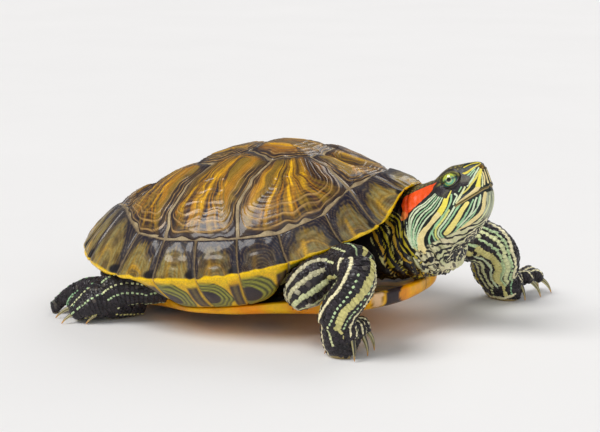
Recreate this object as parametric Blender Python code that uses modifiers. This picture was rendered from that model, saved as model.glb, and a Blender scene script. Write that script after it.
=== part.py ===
"""A red-eared slider turtle at life size, standing with its head raised.

The turtle faces +X, its left side is +Y and it stands on z = 0. Lengths below are in millimetres.
The shell is drawn level in a frame of its own and then tipped up at the front. Head and face are
drawn in a frame between the eyes. Limbs, digits, claws and tail are swept along short paths.
"""
import math

import bmesh
import bpy
import numpy as np

MM = 0.001
GAP = 0.35                      # room left between neighbouring solids

# The middle of the whole animal in the frame that the places below are measured in.
CENTRE_X = 10.43
CENTRE_Y = 11.23

# Shell, in its own frame: +X front, z = 0 at the belly.
SHELL_SCALE = 85.0              # length that the shell's curves are measured against
FRONT_LENGTH = 78.7
REAR_LENGTH = 86.0
HALF_WIDTH = 68.4
FRONT_NARROWING = 0.132
RIM_POWER = 1.985                # 2 is an ellipse
RIM_HEIGHT = 20.2               # of the rim beside the bridge
RIM_RISE_FRONT = 16.5
RIM_POWER_FRONT = 2.25
RIM_RISE_REAR = 13.3
RIM_POWER_REAR = 2.72
NUCHAL_RISE = 10.8              # the rim lifts over the neck
NUCHAL_HALF_WIDTH = 19.3
DOME_HEIGHT = 70.0
RIDGE_TOP = 0.082               # place of the highest point, as a share of the scale
RIDGE_SHARE = 0.57             # the ridge line runs this share of the length
RIDGE_FRONT = (102.3, 2.43)      # fall and power of the ridge ahead of its top
RIDGE_REAR = (38.1, 1.80)
DOME_FRONT = (2.66, 0.86)       # power and fullness of the dome's profile
DOME_SIDE = (1.95, 0.724)
DOME_REAR = (1.94, 0.85)
SHELL_WALL = 3.6
SHELL_PITCH = math.radians(7.1)
SHELL_LIFT = 8.4
SHELL_SIDES = 40

# Bridge: where the belly plate joins the marginals of the carapace.
BRIDGE_FRONT = 30.0
BRIDGE_REAR = -20.0
BRIDGE_FADE = 3.0
BRIDGE_REACH = 0.79             # inner edge of the marginals' underside, as a share of the rim
BRIDGE_EDGE_HEIGHT = 4.8
FREE_REACH = 0.88

# Belly plate.
BELLY_FRONT_LENGTH = 80.0
BELLY_REAR_LENGTH = 76.0
BELLY_FRONT_HALF_WIDTH = 48.5
BELLY_REAR_HALF_WIDTH = 41.0
BELLY_POWER = 2.7
BELLY_DROP_FRONT = 3.0         # the front half lies this much lower than the rear half
BELLY_RISE_REAR = 2.6
BELLY_PLATE = 4.4
BELLY_EDGE_HEIGHT = 8.0

# Head frame: origin midway between the eyes, nose 15 ahead.
HEAD_ORIGIN = (93.0, -1.0, 69.6)
HEAD_YAW = math.radians(-10.0)
HEAD_PITCH = math.radians(29.6)
HEAD_BACK_TOP = 4.8             # of the head's hindmost section, 14 behind the eyes
HEAD_BACK_BOTTOM = -28.5
EYE_PLACE = (0.8, 6.0, 0.0)
EYE_RADIUS = 4.5
MOUTH_CORNER = (-1.5, -10.5)    # along and up, in the head frame
MOUTH_TIP = (13.5, -8.2)
JAW_HINGE = (-8.0, -31.0)

CLAW_LENGTH = 9.0
CLAW_RADIUS = 1.35
CLAW_TIP_HEIGHT = 0.35

HIND_SWING = math.radians(6)    # the left hind leg stands this much further forward
FOOT_VOXEL = 0.9
FOOT_TRIANGLES = 290
FLOOR_BLOCK = 400.0             # side of the block that cuts the soles off at the floor

SKIN = (0.045, 0.045, 0.045)
COLOURS = {
    "shell": ((0.10, 0.075, 0.03), 0.35),
    "belly": ((0.85, 0.42, 0.03), 0.4),
    "skin": (SKIN, 0.5),
    "eye": ((0.25, 0.45, 0.12), 0.05),
    "claw": ((0.30, 0.20, 0.06), 0.3),
}


# ---------------------------------------------------------------- meshes and materials

def material(name):
    """Principled material of one of the named finishes."""
    found = bpy.data.materials.get(name)
    if found:
        return found
    colour, roughness = COLOURS[name]
    made = bpy.data.materials.new(name)
    made.use_nodes = True
    shader = made.node_tree.nodes["Principled BSDF"]
    shader.inputs["Base Color"].default_value = (*colour, 1.0)
    shader.inputs["Roughness"].default_value = roughness
    shader.inputs["Metallic"].default_value = 0.0
    return made


def to_object(name, mesh_data, finish, collection):
    """Object in a collection from a bmesh whose places are in millimetres."""
    bmesh.ops.recalc_face_normals(mesh_data, faces=mesh_data.faces)
    mesh = bpy.data.meshes.new(name)
    mesh_data.to_mesh(mesh)
    mesh_data.free()
    made = bpy.data.objects.new(name, mesh)
    collection.objects.link(made)
    made.data.materials.append(material(finish))
    mesh.shade_smooth()
    mesh.set_sharp_from_angle(angle=math.radians(40))
    return made


def loft(rings, fold_start=False, fold_end=False):
    """Closed bmesh through rings of equal count; a folded end is zipped across its middle line."""
    mesh_data = bmesh.new()
    layers = []
    for ring in rings:
        layers.append([mesh_data.verts.new(point) for point in ring])
    count = len(layers[0])
    for lower, upper in zip(layers, layers[1:]):
        for i in range(count):
            j = (i + 1) % count
            mesh_data.faces.new((lower[i], lower[j], upper[j], upper[i]))
    for layer, folded in ((layers[0], fold_start), (layers[-1], fold_end)):
        if not folded:
            mesh_data.faces.new(layer)
            continue
        for i in range(1, count // 2 - 1):
            mesh_data.faces.new((layer[i], layer[i + 1], layer[count - i - 1], layer[count - i]))
        for pole in (0, count // 2):
            mesh_data.faces.new((layer[pole - 1], layer[pole], layer[pole + 1]))
    bmesh.ops.remove_doubles(mesh_data, verts=mesh_data.verts, dist=0.0001)
    bmesh.ops.dissolve_degenerate(mesh_data, edges=mesh_data.edges, dist=0.0001)
    bmesh.ops.recalc_face_normals(mesh_data, faces=mesh_data.faces)
    return mesh_data


def boolean(target, cutter, operation):
    """Apply an exact boolean of two objects to the first one."""
    modifier = target.modifiers.new("boolean", "BOOLEAN")
    modifier.operation = operation
    modifier.object = cutter
    modifier.solver = "EXACT"
    graph = bpy.context.evaluated_depsgraph_get()
    result = bpy.data.meshes.new_from_object(target.evaluated_get(graph))
    target.modifiers.remove(modifier)
    old = target.data
    target.data = result
    bpy.data.meshes.remove(old)


def swollen(source, clearance, collection):
    """Copy of an object pushed out along its normals, kept as a cutter."""
    mesh_data = bmesh.new()
    mesh_data.from_mesh(source.data)
    mesh_data.normal_update()
    offsets = [vert.normal * clearance for vert in mesh_data.verts]
    for vert, offset in zip(mesh_data.verts, offsets):
        vert.co += offset
    cutter = to_object(source.name + "_room", mesh_data, "skin", collection)
    cutter.hide_render = True
    cutter.display_type = "WIRE"
    return cutter


def fuse(name, bodies, voxel, triangles, collection):
    """One closed skin round overlapping bodies, thinned to about that many triangles."""
    joined = bmesh.new()
    for body in bodies:
        scratch = bpy.data.meshes.new("scratch")
        body.to_mesh(scratch)
        body.free()
        joined.from_mesh(scratch)
        bpy.data.meshes.remove(scratch)
    fused = to_object(name, joined, "skin", collection)
    remesh = fused.modifiers.new("one skin", "REMESH")
    remesh.mode = "VOXEL"
    remesh.voxel_size = voxel
    graph = bpy.context.evaluated_depsgraph_get()
    count = 2 * len(fused.evaluated_get(graph).data.polygons)
    decimate = fused.modifiers.new("fewer faces", "DECIMATE")
    decimate.ratio = triangles / count
    graph = bpy.context.evaluated_depsgraph_get()
    result = bpy.data.meshes.new_from_object(fused.evaluated_get(graph))
    fused.modifiers.clear()
    old = fused.data
    fused.data = result
    bpy.data.meshes.remove(old)
    keep_largest(fused)
    return fused


def islands(mesh_data):
    """Lists of vertices, one for each loose part."""
    seen = set()
    found = []
    for start in mesh_data.verts:
        if start in seen:
            continue
        seen.add(start)
        group = [start]
        for vert in group:
            for edge in vert.link_edges:
                other = edge.other_vert(vert)
                if other not in seen:
                    seen.add(other)
                    group.append(other)
        found.append(group)
    return found


def keep_largest(target):
    """Drop the slivers that a cut leaves behind."""
    mesh_data = bmesh.new()
    mesh_data.from_mesh(target.data)
    groups = sorted(islands(mesh_data), key=len, reverse=True)
    for group in groups[1:]:
        bmesh.ops.delete(mesh_data, geom=group, context="VERTS")
    mesh_data.to_mesh(target.data)
    mesh_data.free()


def make_room(target, neighbours, cutters, clearance=GAP):
    """Cut the target back from each neighbour by the clearance."""
    for neighbour in neighbours:
        cutter = swollen(neighbour, clearance, cutters)
        boolean(target, cutter, "DIFFERENCE")
        bpy.data.objects.remove(cutter)
    keep_largest(target)


def stand_flat(target, cutters):
    """Cut the object off at the floor, which leaves a small flat under it."""
    mesh_data = bmesh.new()
    bmesh.ops.create_cube(mesh_data, size=FLOOR_BLOCK)
    bmesh.ops.translate(mesh_data, verts=mesh_data.verts, vec=(0, 0, -FLOOR_BLOCK / 2))
    ground = to_object("floor_room", mesh_data, "skin", cutters)
    boolean(target, ground, "DIFFERENCE")
    bpy.data.objects.remove(ground)


# ---------------------------------------------------------------- curves and frames

def unit(vector):
    """Vector of length one."""
    return vector / np.linalg.norm(vector)


def smooth_path(stations, steps):
    """Rows of a Catmull-Rom curve through the stations, ends included."""
    points = np.array(stations, float)
    padded = np.vstack([2 * points[0] - points[1], points, 2 * points[-1] - points[-2]])
    rows = []
    for t in np.linspace(0.0, len(points) - 1.0, steps):
        i = min(int(t), len(points) - 2)
        u = t - i
        a, b, c, d = padded[i:i + 4]
        rows.append(0.5 * (2 * b + (c - a) * u + (2 * a - 5 * b + 4 * c - d) * u ** 2
                           + (3 * b - 3 * c + d - a) * u ** 3))
    return np.array(rows)


def super_circle(angles, power):
    """Cosine and sine bent to a rounder or squarer outline."""
    across = np.sign(np.cos(angles)) * np.abs(np.cos(angles)) ** (2 / power)
    along = np.sign(np.sin(angles)) * np.abs(np.sin(angles)) ** (2 / power)
    return across, along


def ring(centre, side, up, half_width, half_height, sides, power=2.0, lean=0.0):
    """Rounded section; a lean above 0 makes its upper part narrower."""
    angles = np.linspace(0.0, 2 * np.pi, sides, endpoint=False)
    across, along = super_circle(angles, power)
    across = across * (1 - lean * along)
    return (np.asarray(centre) + np.outer(across * half_width, side)
            + np.outer(along * half_height, up))


def sweep(stations, broad, steps, sides, power=2.0):
    """Loft along (x, y, z, half_width, half_height) stations; broad is the way the width lies."""
    rows = smooth_path(stations, steps)
    tangents = np.gradient(rows[:, :3], axis=0)
    rings = []
    for row, tangent in zip(rows, tangents):
        tangent = unit(tangent)
        side = unit(np.array(broad) - np.dot(broad, tangent) * tangent)
        up = np.cross(tangent, side)
        rings.append(ring(row[:3], side, up, row[3], row[4], sides, power))
    return loft(rings)


def shell_to_world(points):
    """From the level shell frame to the standing one."""
    points = np.asarray(points, float)
    x, y, z = points[..., 0], points[..., 1], points[..., 2]
    turned_x = x * math.cos(SHELL_PITCH) - z * math.sin(SHELL_PITCH)
    turned_z = x * math.sin(SHELL_PITCH) + z * math.cos(SHELL_PITCH) + SHELL_LIFT
    return np.stack([turned_x, y, turned_z], -1)


def head_to_world(points):
    """From the frame between the eyes to the standing one."""
    points = np.asarray(points, float)
    x, y, z = points[..., 0], points[..., 1], points[..., 2]
    ahead = x * math.cos(HEAD_PITCH) - z * math.sin(HEAD_PITCH)
    height = x * math.sin(HEAD_PITCH) + z * math.cos(HEAD_PITCH)
    turned = np.stack([ahead * math.cos(HEAD_YAW) - y * math.sin(HEAD_YAW),
                       ahead * math.sin(HEAD_YAW) + y * math.cos(HEAD_YAW), height], -1)
    return turned + np.array(HEAD_ORIGIN)


# ---------------------------------------------------------------- shell

def shell_angles():
    """Angles round the shell, 0 at the front and growing to the left."""
    return np.linspace(0.0, 2 * np.pi, SHELL_SIDES, endpoint=False)


def front_share(angles):
    """1 at the front of the shell, 0 at the rear."""
    return 0.5 + 0.5 * np.tanh(np.cos(angles) / 0.25)


def rim_outline(angles):
    """Plan of the carapace's rim."""
    x, y = super_circle(angles, RIM_POWER)
    x = x * np.where(x > 0, FRONT_LENGTH, REAR_LENGTH)
    return x, y * HALF_WIDTH * (1 - FRONT_NARROWING * x / SHELL_SCALE)


def rim_height(angles):
    """Height of the rim above the belly."""
    x, y = rim_outline(angles)
    front = RIM_RISE_FRONT * np.abs(x / FRONT_LENGTH) ** RIM_POWER_FRONT
    rear = RIM_RISE_REAR * np.abs(x / REAR_LENGTH) ** RIM_POWER_REAR
    nuchal = NUCHAL_RISE * np.exp(-(y / NUCHAL_HALF_WIDTH) ** 4) * front_share(angles)
    return RIM_HEIGHT + np.where(x > 0, front + nuchal, rear)


def dome(angles, reach, depth=0.0):
    """Ring of the carapace from the ridge (reach 0) to the rim (1), or that far inside it."""
    rim_x, rim_y = rim_outline(angles)
    ridge_x = RIDGE_SHARE * rim_x
    from_top = ridge_x / SHELL_SCALE - RIDGE_TOP
    front = RIDGE_FRONT[0] * np.abs(from_top) ** RIDGE_FRONT[1]
    rear = RIDGE_REAR[0] * np.abs(from_top) ** RIDGE_REAR[1]
    ridge_z = DOME_HEIGHT - np.where(from_top > 0, front, rear)
    facing = np.cos(angles)
    ahead, behind = np.clip(facing, 0, 1) ** 2, np.clip(-facing, 0, 1) ** 2
    power, fullness = [ahead * DOME_FRONT[i] + behind * DOME_REAR[i] + (1 - ahead - behind) * DOME_SIDE[i]
                       for i in (0, 1)]
    x = ridge_x + (rim_x - ridge_x) * reach
    base = rim_height(angles)
    z = base + (ridge_z - base) * (1 - reach ** power) ** fullness
    x = x * (1 - depth / SHELL_SCALE)
    y = rim_y * reach * (1 - depth / HALF_WIDTH)
    return np.stack([x, y, z - depth * math.sqrt(1 - reach ** 2)], -1)


def bridge_share(x):
    """1 beside the bridge, 0 at the leg openings."""
    front = 1 / (1 + np.exp((x - BRIDGE_FRONT) / BRIDGE_FADE))
    rear = 1 / (1 + np.exp((BRIDGE_REAR - x) / BRIDGE_FADE))
    return front * rear


def under_rim(angles, reach_bridge, reach_free, rise_bridge, rise_free):
    """Ring under the marginals, low beside the bridge and close to the rim elsewhere."""
    rim_x, rim_y = rim_outline(angles)
    share = bridge_share(rim_x * BRIDGE_REACH)
    reach = share * reach_bridge + (1 - share) * reach_free
    z = share * rise_bridge + (1 - share) * (rim_height(angles) + rise_free)
    return np.stack([rim_x * reach, rim_y * reach, z], -1)


def make_carapace(collection):
    """Domed upper shell with the marginals' turned-in underside."""
    angles = shell_angles()
    outer = [0.0, 0.12, 0.25, 0.38, 0.50, 0.61, 0.71, 0.80, 0.88, 0.94, 0.98, 1.0]
    rings = [dome(angles, reach) for reach in outer]
    middle = (RIM_HEIGHT + BRIDGE_EDGE_HEIGHT) / 2 - 1.5
    rings.append(under_rim(angles, 0.91, 0.94, middle, -0.6))
    rings.append(under_rim(angles, BRIDGE_REACH, FREE_REACH, BRIDGE_EDGE_HEIGHT, 0.0))
    rings.append(under_rim(angles, BRIDGE_REACH - 0.05, FREE_REACH - 0.045, BRIDGE_EDGE_HEIGHT, 0.8))
    rings.append(under_rim(angles, 0.83, 0.80, RIM_HEIGHT + 3.0, 1.8))
    for reach in (0.82, 0.68, 0.5, 0.25, 0.0):
        rings.append(dome(angles, reach, SHELL_WALL))
    rings = [shell_to_world(points) for points in rings]
    return to_object("carapace", loft(rings, True, True), "shell", collection)


def belly_ring(angles, inset, z_free, z_bridge, sag):
    """Ring of the belly plate, that far inside its outline; sag lets it follow the front's drop."""
    x, y = super_circle(angles, BELLY_POWER)
    ahead = front_share(angles)
    y = y * (ahead * BELLY_FRONT_HALF_WIDTH + (1 - ahead) * BELLY_REAR_HALF_WIDTH)
    x = x * np.where(x > 0, BELLY_FRONT_LENGTH, BELLY_REAR_LENGTH)
    rim_x, rim_y = rim_outline(angles)
    share = bridge_share(rim_x * BRIDGE_REACH)
    x = share * rim_x * BRIDGE_REACH + (1 - share) * x
    y = share * rim_y * BRIDGE_REACH + (1 - share) * y
    scale = 1 - inset / BELLY_FRONT_HALF_WIDTH
    along = x * scale / BELLY_FRONT_LENGTH
    drop = BELLY_DROP_FRONT * (0.5 + 0.5 * np.tanh(along * 4))
    rise = BELLY_RISE_REAR * np.clip(-along, 0, 1) ** 2
    z = share * (z_bridge - drop * sag) + (1 - share) * (z_free - drop) + rise
    return np.stack([x * scale, y * scale, z], -1)


def make_plastron(collection):
    """Belly plate with an upturned edge that meets the marginals at the bridge."""
    angles = shell_angles()
    edge_top = BRIDGE_EDGE_HEIGHT - GAP
    floor = BELLY_PLATE
    rings = [belly_ring(angles, *row) for row in (
        (BELLY_FRONT_HALF_WIDTH, 0.0, 0.0, 1.0),
        (24.0, 0.0, 0.0, 1.0),
        (8.0, 0.1, 1.2, 1.0),
        (3.2, 0.8, 2.2, 0.8),
        (0.8, 2.8, 3.0, 0.4),
        (0.2, BELLY_EDGE_HEIGHT - 1.8, edge_top - 0.7, 0.1),
        (0.6, BELLY_EDGE_HEIGHT, edge_top, 0.0),
        (3.4, BELLY_EDGE_HEIGHT - 0.4, edge_top, 0.0),
        (8.0, floor, floor, 0.5),
        (24.0, floor, floor, 1.0),
        (BELLY_FRONT_HALF_WIDTH, floor, floor, 1.0))]
    rings = [shell_to_world(points) for points in rings]
    return to_object("plastron", loft(rings, True, True), "belly", collection)


def make_trunk(collection):
    """Flesh that fills the shell and shows at the leg and neck openings."""
    angles = shell_angles()[::2]
    depth = SHELL_WALL + 1.2
    rings = [dome(angles, reach, depth) for reach in (0.0, 0.3, 0.55, 0.68)]
    floor = BELLY_PLATE + 1.0
    rings.append(under_rim(angles, 0.74, 0.66, RIM_HEIGHT, -3.0))
    rings.append(under_rim(angles, 0.68, 0.60, 9.0, -14.0))
    for reach in (0.54, 0.3, 0.0):
        x, y = rim_outline(angles)
        rings.append(np.stack([x * reach, y * reach, np.full(len(angles), floor)], -1))
    rings = [shell_to_world(points) for points in rings]
    return to_object("trunk", loft(rings, True, True), "skin", collection)


# ---------------------------------------------------------------- head and neck

def head_section(along, half_width, top, bottom, sides=18):
    """Ring across the head frame's x axis."""
    centre = (along, 0.0, (top + bottom) / 2)
    points = ring(centre, np.array([0, 1.0, 0]), np.array([0, 0, 1.0]), half_width,
                  (top - bottom) / 2, sides, power=2.15, lean=0.14)
    return head_to_world(points)


def make_head(collection, cutters):
    """Head and lower jaw, parted along the mouth, with sockets for the eyes."""
    sections = ((-14.0, 14.3, HEAD_BACK_TOP, HEAD_BACK_BOTTOM), (-9.0, 14.0, 4.4, -27.5),
                (-4.0, 12.8, 6.0, -25.5), (0.0, 11.0, 6.4, -24.0), (4.0, 9.4, 5.4, -22.4),
                (8.0, 7.7, 4.5, -19.6), (11.0, 5.9, 3.7, -16.2), (12.8, 4.3, 3.0, -12.2),
                (14.0, 3.1, 2.4, -8.4), (14.8, 2.1, 1.8, -3.5))
    rows = smooth_path(sections, 15)
    head = to_object("head", loft([head_section(*row) for row in rows]), "skin", collection)
    eyes = []
    for name, hand in (("eye_left", 1), ("eye_right", -1)):
        place = head_to_world((EYE_PLACE[0], EYE_PLACE[1] * hand, EYE_PLACE[2]))
        mesh_data = bmesh.new()
        bmesh.ops.create_uvsphere(mesh_data, u_segments=12, v_segments=8, radius=EYE_RADIUS)
        bmesh.ops.translate(mesh_data, verts=mesh_data.verts, vec=place)
        eyes.append(to_object(name, mesh_data, "eye", collection))
    make_room(head, eyes, cutters)
    slit = mouth_slit(cutters)
    boolean(head, slit, "DIFFERENCE")
    bpy.data.objects.remove(slit)
    split_jaw(head, collection)
    return head


def mouth_slit(cutters):
    """Thin bent sheet along the mouth and down behind the jaw."""
    slope = (MOUTH_TIP[1] - MOUTH_CORNER[1]) / (MOUTH_TIP[0] - MOUTH_CORNER[0])
    front = (MOUTH_TIP[0] + 10.0, MOUTH_TIP[1] + 10.0 * slope)
    mesh_data = bmesh.new()
    pairs = []
    for along, height in (front, MOUTH_CORNER, JAW_HINGE):
        pairs.append([mesh_data.verts.new(head_to_world((along, y, height))) for y in (-25, 25)])
    for near, far in zip(pairs, pairs[1:]):
        mesh_data.faces.new((near[0], near[1], far[1], far[0]))
    slit = to_object("mouth_slit", mesh_data, "skin", cutters)
    slit.hide_render = True
    slit.display_type = "WIRE"
    solidify = slit.modifiers.new("thickness", "SOLIDIFY")
    solidify.thickness = GAP
    solidify.offset = 0.0
    return slit


def split_jaw(head, collection):
    """Move the smaller loose part of the slit head to a node of its own."""
    mesh_data = bmesh.new()
    mesh_data.from_mesh(head.data)
    upper, lower = sorted(islands(mesh_data), key=len, reverse=True)[:2]
    jaw_data = mesh_data.copy()
    keep = {vert.index for vert in lower}
    jaw_data.verts.ensure_lookup_table()
    others = [vert for vert in jaw_data.verts if vert.index not in keep]
    bmesh.ops.delete(jaw_data, geom=others, context="VERTS")
    bmesh.ops.delete(mesh_data, geom=lower, context="VERTS")
    mesh_data.to_mesh(head.data)
    mesh_data.free()
    return to_object("lower_jaw", jaw_data, "skin", collection)


def make_neck(collection):
    """Thick neck from inside the shell up to the head, through (top, bottom, half_width) rings."""
    top = head_to_world((-14.0 - GAP, 0.0, HEAD_BACK_TOP))
    bottom = head_to_world((-14.0 - GAP, 0.0, HEAD_BACK_BOTTOM))
    stations = [(42, 0, 47, 46, 0, 20.5, 15.0), (53, 0, 52, 66, 0, 22.0, 15.5),
                (62, 0.2, 57.5, 84, 0, 25.4, 15.8), (71, 0.8, 64, 93.5, 0, 29.4, 15.2),
                (*top, *bottom, 14.3)]
    rings = []
    for row in smooth_path(stations, 9):
        high, low = row[:3], row[3:6]
        up = unit(high - low)
        side = unit(np.cross(up, np.array([math.cos(HEAD_YAW), math.sin(HEAD_YAW), 0.0])))
        rings.append(ring((high + low) / 2, side, up, row[6], np.linalg.norm(high - low) / 2,
                          18, power=2.15, lean=0.14))
    return to_object("neck", loft(rings), "skin", collection)


# ---------------------------------------------------------------- limbs

def make_claw(name, tip, heading, steepness, collection):
    """Curved claw that ends at the tip; returns its base centre and the way it points."""
    forward = np.array([math.cos(heading), math.sin(heading), 0.0])
    down = np.array([0.0, 0.0, -1.0])
    base_way = math.cos(steepness * 0.8) * forward + math.sin(steepness * 0.8) * down
    chord = math.cos(steepness) * forward + math.sin(steepness) * down
    base = np.array(tip) - chord * CLAW_LENGTH
    bow = np.cross(np.cross(chord, base_way), chord)
    bow = unit(bow) * 0.09 * CLAW_LENGTH
    stations = []
    for share, radius in ((0.0, 1.0), (0.35, 0.82), (0.7, 0.5), (1.0, 0.14)):
        arch = bow * 4 * share * (1 - share)
        size = radius * CLAW_RADIUS
        stations.append((*(base + chord * CLAW_LENGTH * share + arch), size * 0.8, size))
    side = np.cross(forward, down)
    claw = to_object(name, sweep(stations, side, 5, 5), "claw", collection)
    return claw, base, unit(np.array(stations[1][:3]) - base)


def make_foot(name, limb, palm, digits, digit_radius, collection, cutters):
    """Palm and digits as one skin, cut off at the floor; each digit ends at its claw."""
    bodies = [sweep(palm["stations"], palm["broad"], 9, 16, power=2.3)]
    claws = []
    for number, (tip, heading, steepness, has_claw) in enumerate(digits, start=1):
        end = (*tip, CLAW_TIP_HEIGHT)
        if has_claw:
            label = name.replace("_foot", "") + "_claw_" + str(number)
            claw, base, way = make_claw(label, end, heading, steepness, collection)
            claws.append(claw)
        else:
            way = np.array([math.cos(heading), math.sin(heading), -0.5])
            base = np.array(end) + np.array([0.0, 0.0, digit_radius * 0.7])
        way = unit(way)
        root = np.array(palm["root"])
        knuckle = base - way * palm["knuckle"] + np.array([0.0, 0.0, palm["arch"]])
        middle = (root + knuckle) / 2 + np.array([0.0, 0.0, palm["arch"]])
        stations = [(*root, digit_radius * 1.6, digit_radius * 1.6),
                    (*middle, digit_radius * 1.35, digit_radius * 1.35),
                    (*knuckle, digit_radius * 1.15, digit_radius * 1.15),
                    (*base, digit_radius * 0.9, digit_radius * 0.9)]
        side = np.array([-math.sin(heading), math.cos(heading), 0.0])
        bodies.append(sweep(stations, side, 9, 12))
    foot = fuse(name, bodies, FOOT_VOXEL, FOOT_TRIANGLES, collection)
    stand_flat(foot, cutters)
    make_room(foot, (*limb, *claws), cutters)
    return foot


def make_segment(name, stations, broad, collection, steps=6, sides=13):
    """One stretch of a limb."""
    return to_object(name, sweep(stations, broad, steps, sides), "skin", collection)


def join(target, extra):
    """Unite a second body with the first."""
    boolean(target, extra, "UNION")
    bpy.data.objects.remove(extra)


def make_forelegs(collection, cutters):
    """Both forelegs: the right one stands back, the left one reaches ahead and out."""
    uppers = []
    broad = (0.9, 0.45, 0.0)
    upper = make_segment("foreleg_right_upper", [
        (40, -25, 31, 11, 10), (51, -36, 32.5, 11, 10), (61, -45.5, 36.5, 10, 9.5),
        (69, -53, 38.5, 9, 8.8)], (0.7, -0.2, 0.7), collection)
    fold = make_segment("fold", [(54, -46, 37, 6, 6), (48, -51, 31, 9, 8), (43, -53, 24, 8.5, 8),
                                 (40, -53.5, 18.5, 3.5, 4)], broad, collection, 7, 14)
    join(upper, fold)
    uppers.append(upper)
    lower = make_segment("foreleg_right_lower", [
        (67.5, -51.5, 39.5, 8.6, 8.4), (70.3, -56.5, 32, 8.2, 9), (65, -58.5, 23, 8.2, 9),
        (60.8, -58, 14, 7.8, 8.6)], broad, collection)
    palm = {"stations": [(62, -57.5, 16, 6.5, 7), (62, -57, 11, 7.6, 8), (63.5, -55.5, 6, 8.2, 8),
                         (67, -53, 3, 7.6, 7)],
            "broad": (0.9, 0.45, 0.0), "root": (62, -54.5, 8), "knuckle": 4.0, "arch": 0.8}
    digits = (((56.2, -57.6), math.radians(-118), math.radians(52), True),
              ((72.2, -62.2), math.radians(-48), math.radians(74), True),
              ((73.8, -52.3), math.radians(-10), math.radians(72), True),
              ((72.9, -43.5), math.radians(28), math.radians(70), True),
              ((67.0, -38.5), math.radians(60), math.radians(66), True))
    make_foot("foreleg_right_foot", (lower,), palm, digits, 2.7, collection, cutters)
    make_room(lower, (upper,), cutters)

    broad = (0.8, -0.5, 0.2)
    upper = make_segment("foreleg_left_upper", [
        (40, 25, 31, 11, 10), (54, 35, 31.5, 11.5, 10), (70, 43, 33.5, 11.5, 10.5),
        (84, 50, 32.4, 12.5, 10.5)], (0.7, -0.4, -0.5), collection)
    uppers.append(upper)
    lower = make_segment("foreleg_left_lower", [
        (81, 48, 31.5, 12, 10.5), (87, 53, 29, 13.6, 10.4), (89.6, 57.5, 23, 14.4, 9.8),
        (88.6, 60.8, 16, 12.6, 9), (88.6, 65, 10, 10.8, 8.6)], broad, collection)
    palm = {"stations": [(90, 64, 12, 9.5, 7), (91, 66, 8, 10.8, 8.6), (93, 68.5, 4, 10.6, 8),
                         (96, 71, 2, 8.5, 6.5)],
            "broad": broad, "root": (93, 69, 6), "knuckle": 4.0, "arch": 0.3}
    digits = (((98.3, 63.0), math.radians(-38), math.radians(50), True),
              ((103.1, 65.5), math.radians(-12), math.radians(66), True),
              ((107.7, 74.9), math.radians(18), math.radians(58), True),
              ((109.7, 85.1), math.radians(40), math.radians(52), True),
              ((101.0, 92.0), math.radians(74), math.radians(52), True))
    make_foot("foreleg_left_foot", (lower,), palm, digits, 2.7, collection, cutters)
    make_room(lower, (upper,), cutters)
    return uppers


def make_hindleg(name, hand, swing, collection, cutters):
    """Hind leg pushed out and back; hand is -1 on the right, and swing turns it about the hip."""
    hip = np.array([-28.0, 30.0 * hand])

    def place(row):
        """Mirror a right-hand place to the leg's own side and swing it about the hip."""
        x, y = row[0], row[1] * -hand
        turn = swing * hand
        dx, dy = x - hip[0], y - hip[1]
        return (hip[0] + dx * math.cos(turn) - dy * math.sin(turn),
                hip[1] + dx * math.sin(turn) + dy * math.cos(turn), *row[2:])

    def direction(vector):
        """The same for a way to point."""
        x, y, z = vector
        turn = swing * hand
        y = y * -hand
        return (x * math.cos(turn) - y * math.sin(turn), x * math.sin(turn) + y * math.cos(turn), z)

    thigh = [place(row) for row in ((-22, -28, 21, 12, 10), (-32, -36, 19, 12, 9.5),
                                    (-43, -44, 18, 11.5, 9.5))]
    shank = [place(row) for row in ((-41, -42, 18, 11.0, 9.2), (-50, -48, 18, 12, 9.8),
                                    (-57, -50.5, 16, 12, 9))]
    broad = direction((-0.5, 0.6, 0.6))
    upper = make_segment(name + "_upper", thigh, broad, collection, 5)
    lower = make_segment(name + "_lower", shank, broad, collection, 5)
    sole = [place(row) for row in ((-46, -36.5, 4.6, 5.5, 4.8), (-53, -42.5, 8, 10, 8.8),
                                   (-61, -50, 10.2, 13.5, 10.6), (-69, -56, 7.4, 14, 8.2),
                                   (-75, -60, 4, 12, 5))]
    palm = {"stations": sole, "broad": direction((0.6, -0.75, 0.0)), "root": place((-59, -49, 15)),
            "knuckle": 7.0, "arch": 2.6}
    heading = math.radians(-125)
    digits = []
    for tip, turn, steepness, has_claw in (
            ((-56.9, -50.3), 4, 30, True), ((-60.8, -63.2), 2, 30, True),
            ((-71.1, -67.6), -4, 30, True), ((-79.1, -60.6), -14, 30, True),
            ((-86.0, -52.5), -34, 30, False)):
        moved = place((*tip, 0.0))[:2]
        way = direction((math.cos(heading + math.radians(turn)),
                         math.sin(heading + math.radians(turn)), 0.0))
        digits.append((moved, math.atan2(way[1], way[0]), math.radians(steepness), has_claw))
    foot = make_foot(name + "_foot", (upper, lower), palm, digits, 2.9, collection, cutters)
    make_room(lower, (upper,), cutters)
    return upper, lower, foot


def make_tail(collection):
    """Short tail that curls to the left behind the shell."""
    stations = [(-58, 0, 15, 8, 7.5), (-70, 3, 12, 6, 5.8), (-79, 9, 8, 4.2, 4),
                (-84, 18, 5, 3, 2.9), (-84, 27, 2.6, 1.8, 1.8), (-81, 34, 1.5, 0.5, 0.5)]
    return to_object("tail", sweep(stations, (0, 1, 0.2), 12, 10), "skin", collection)


# ---------------------------------------------------------------- the whole animal

def clear_scene():
    """Empty the file."""
    for item in list(bpy.data.objects):
        bpy.data.objects.remove(item)


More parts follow.
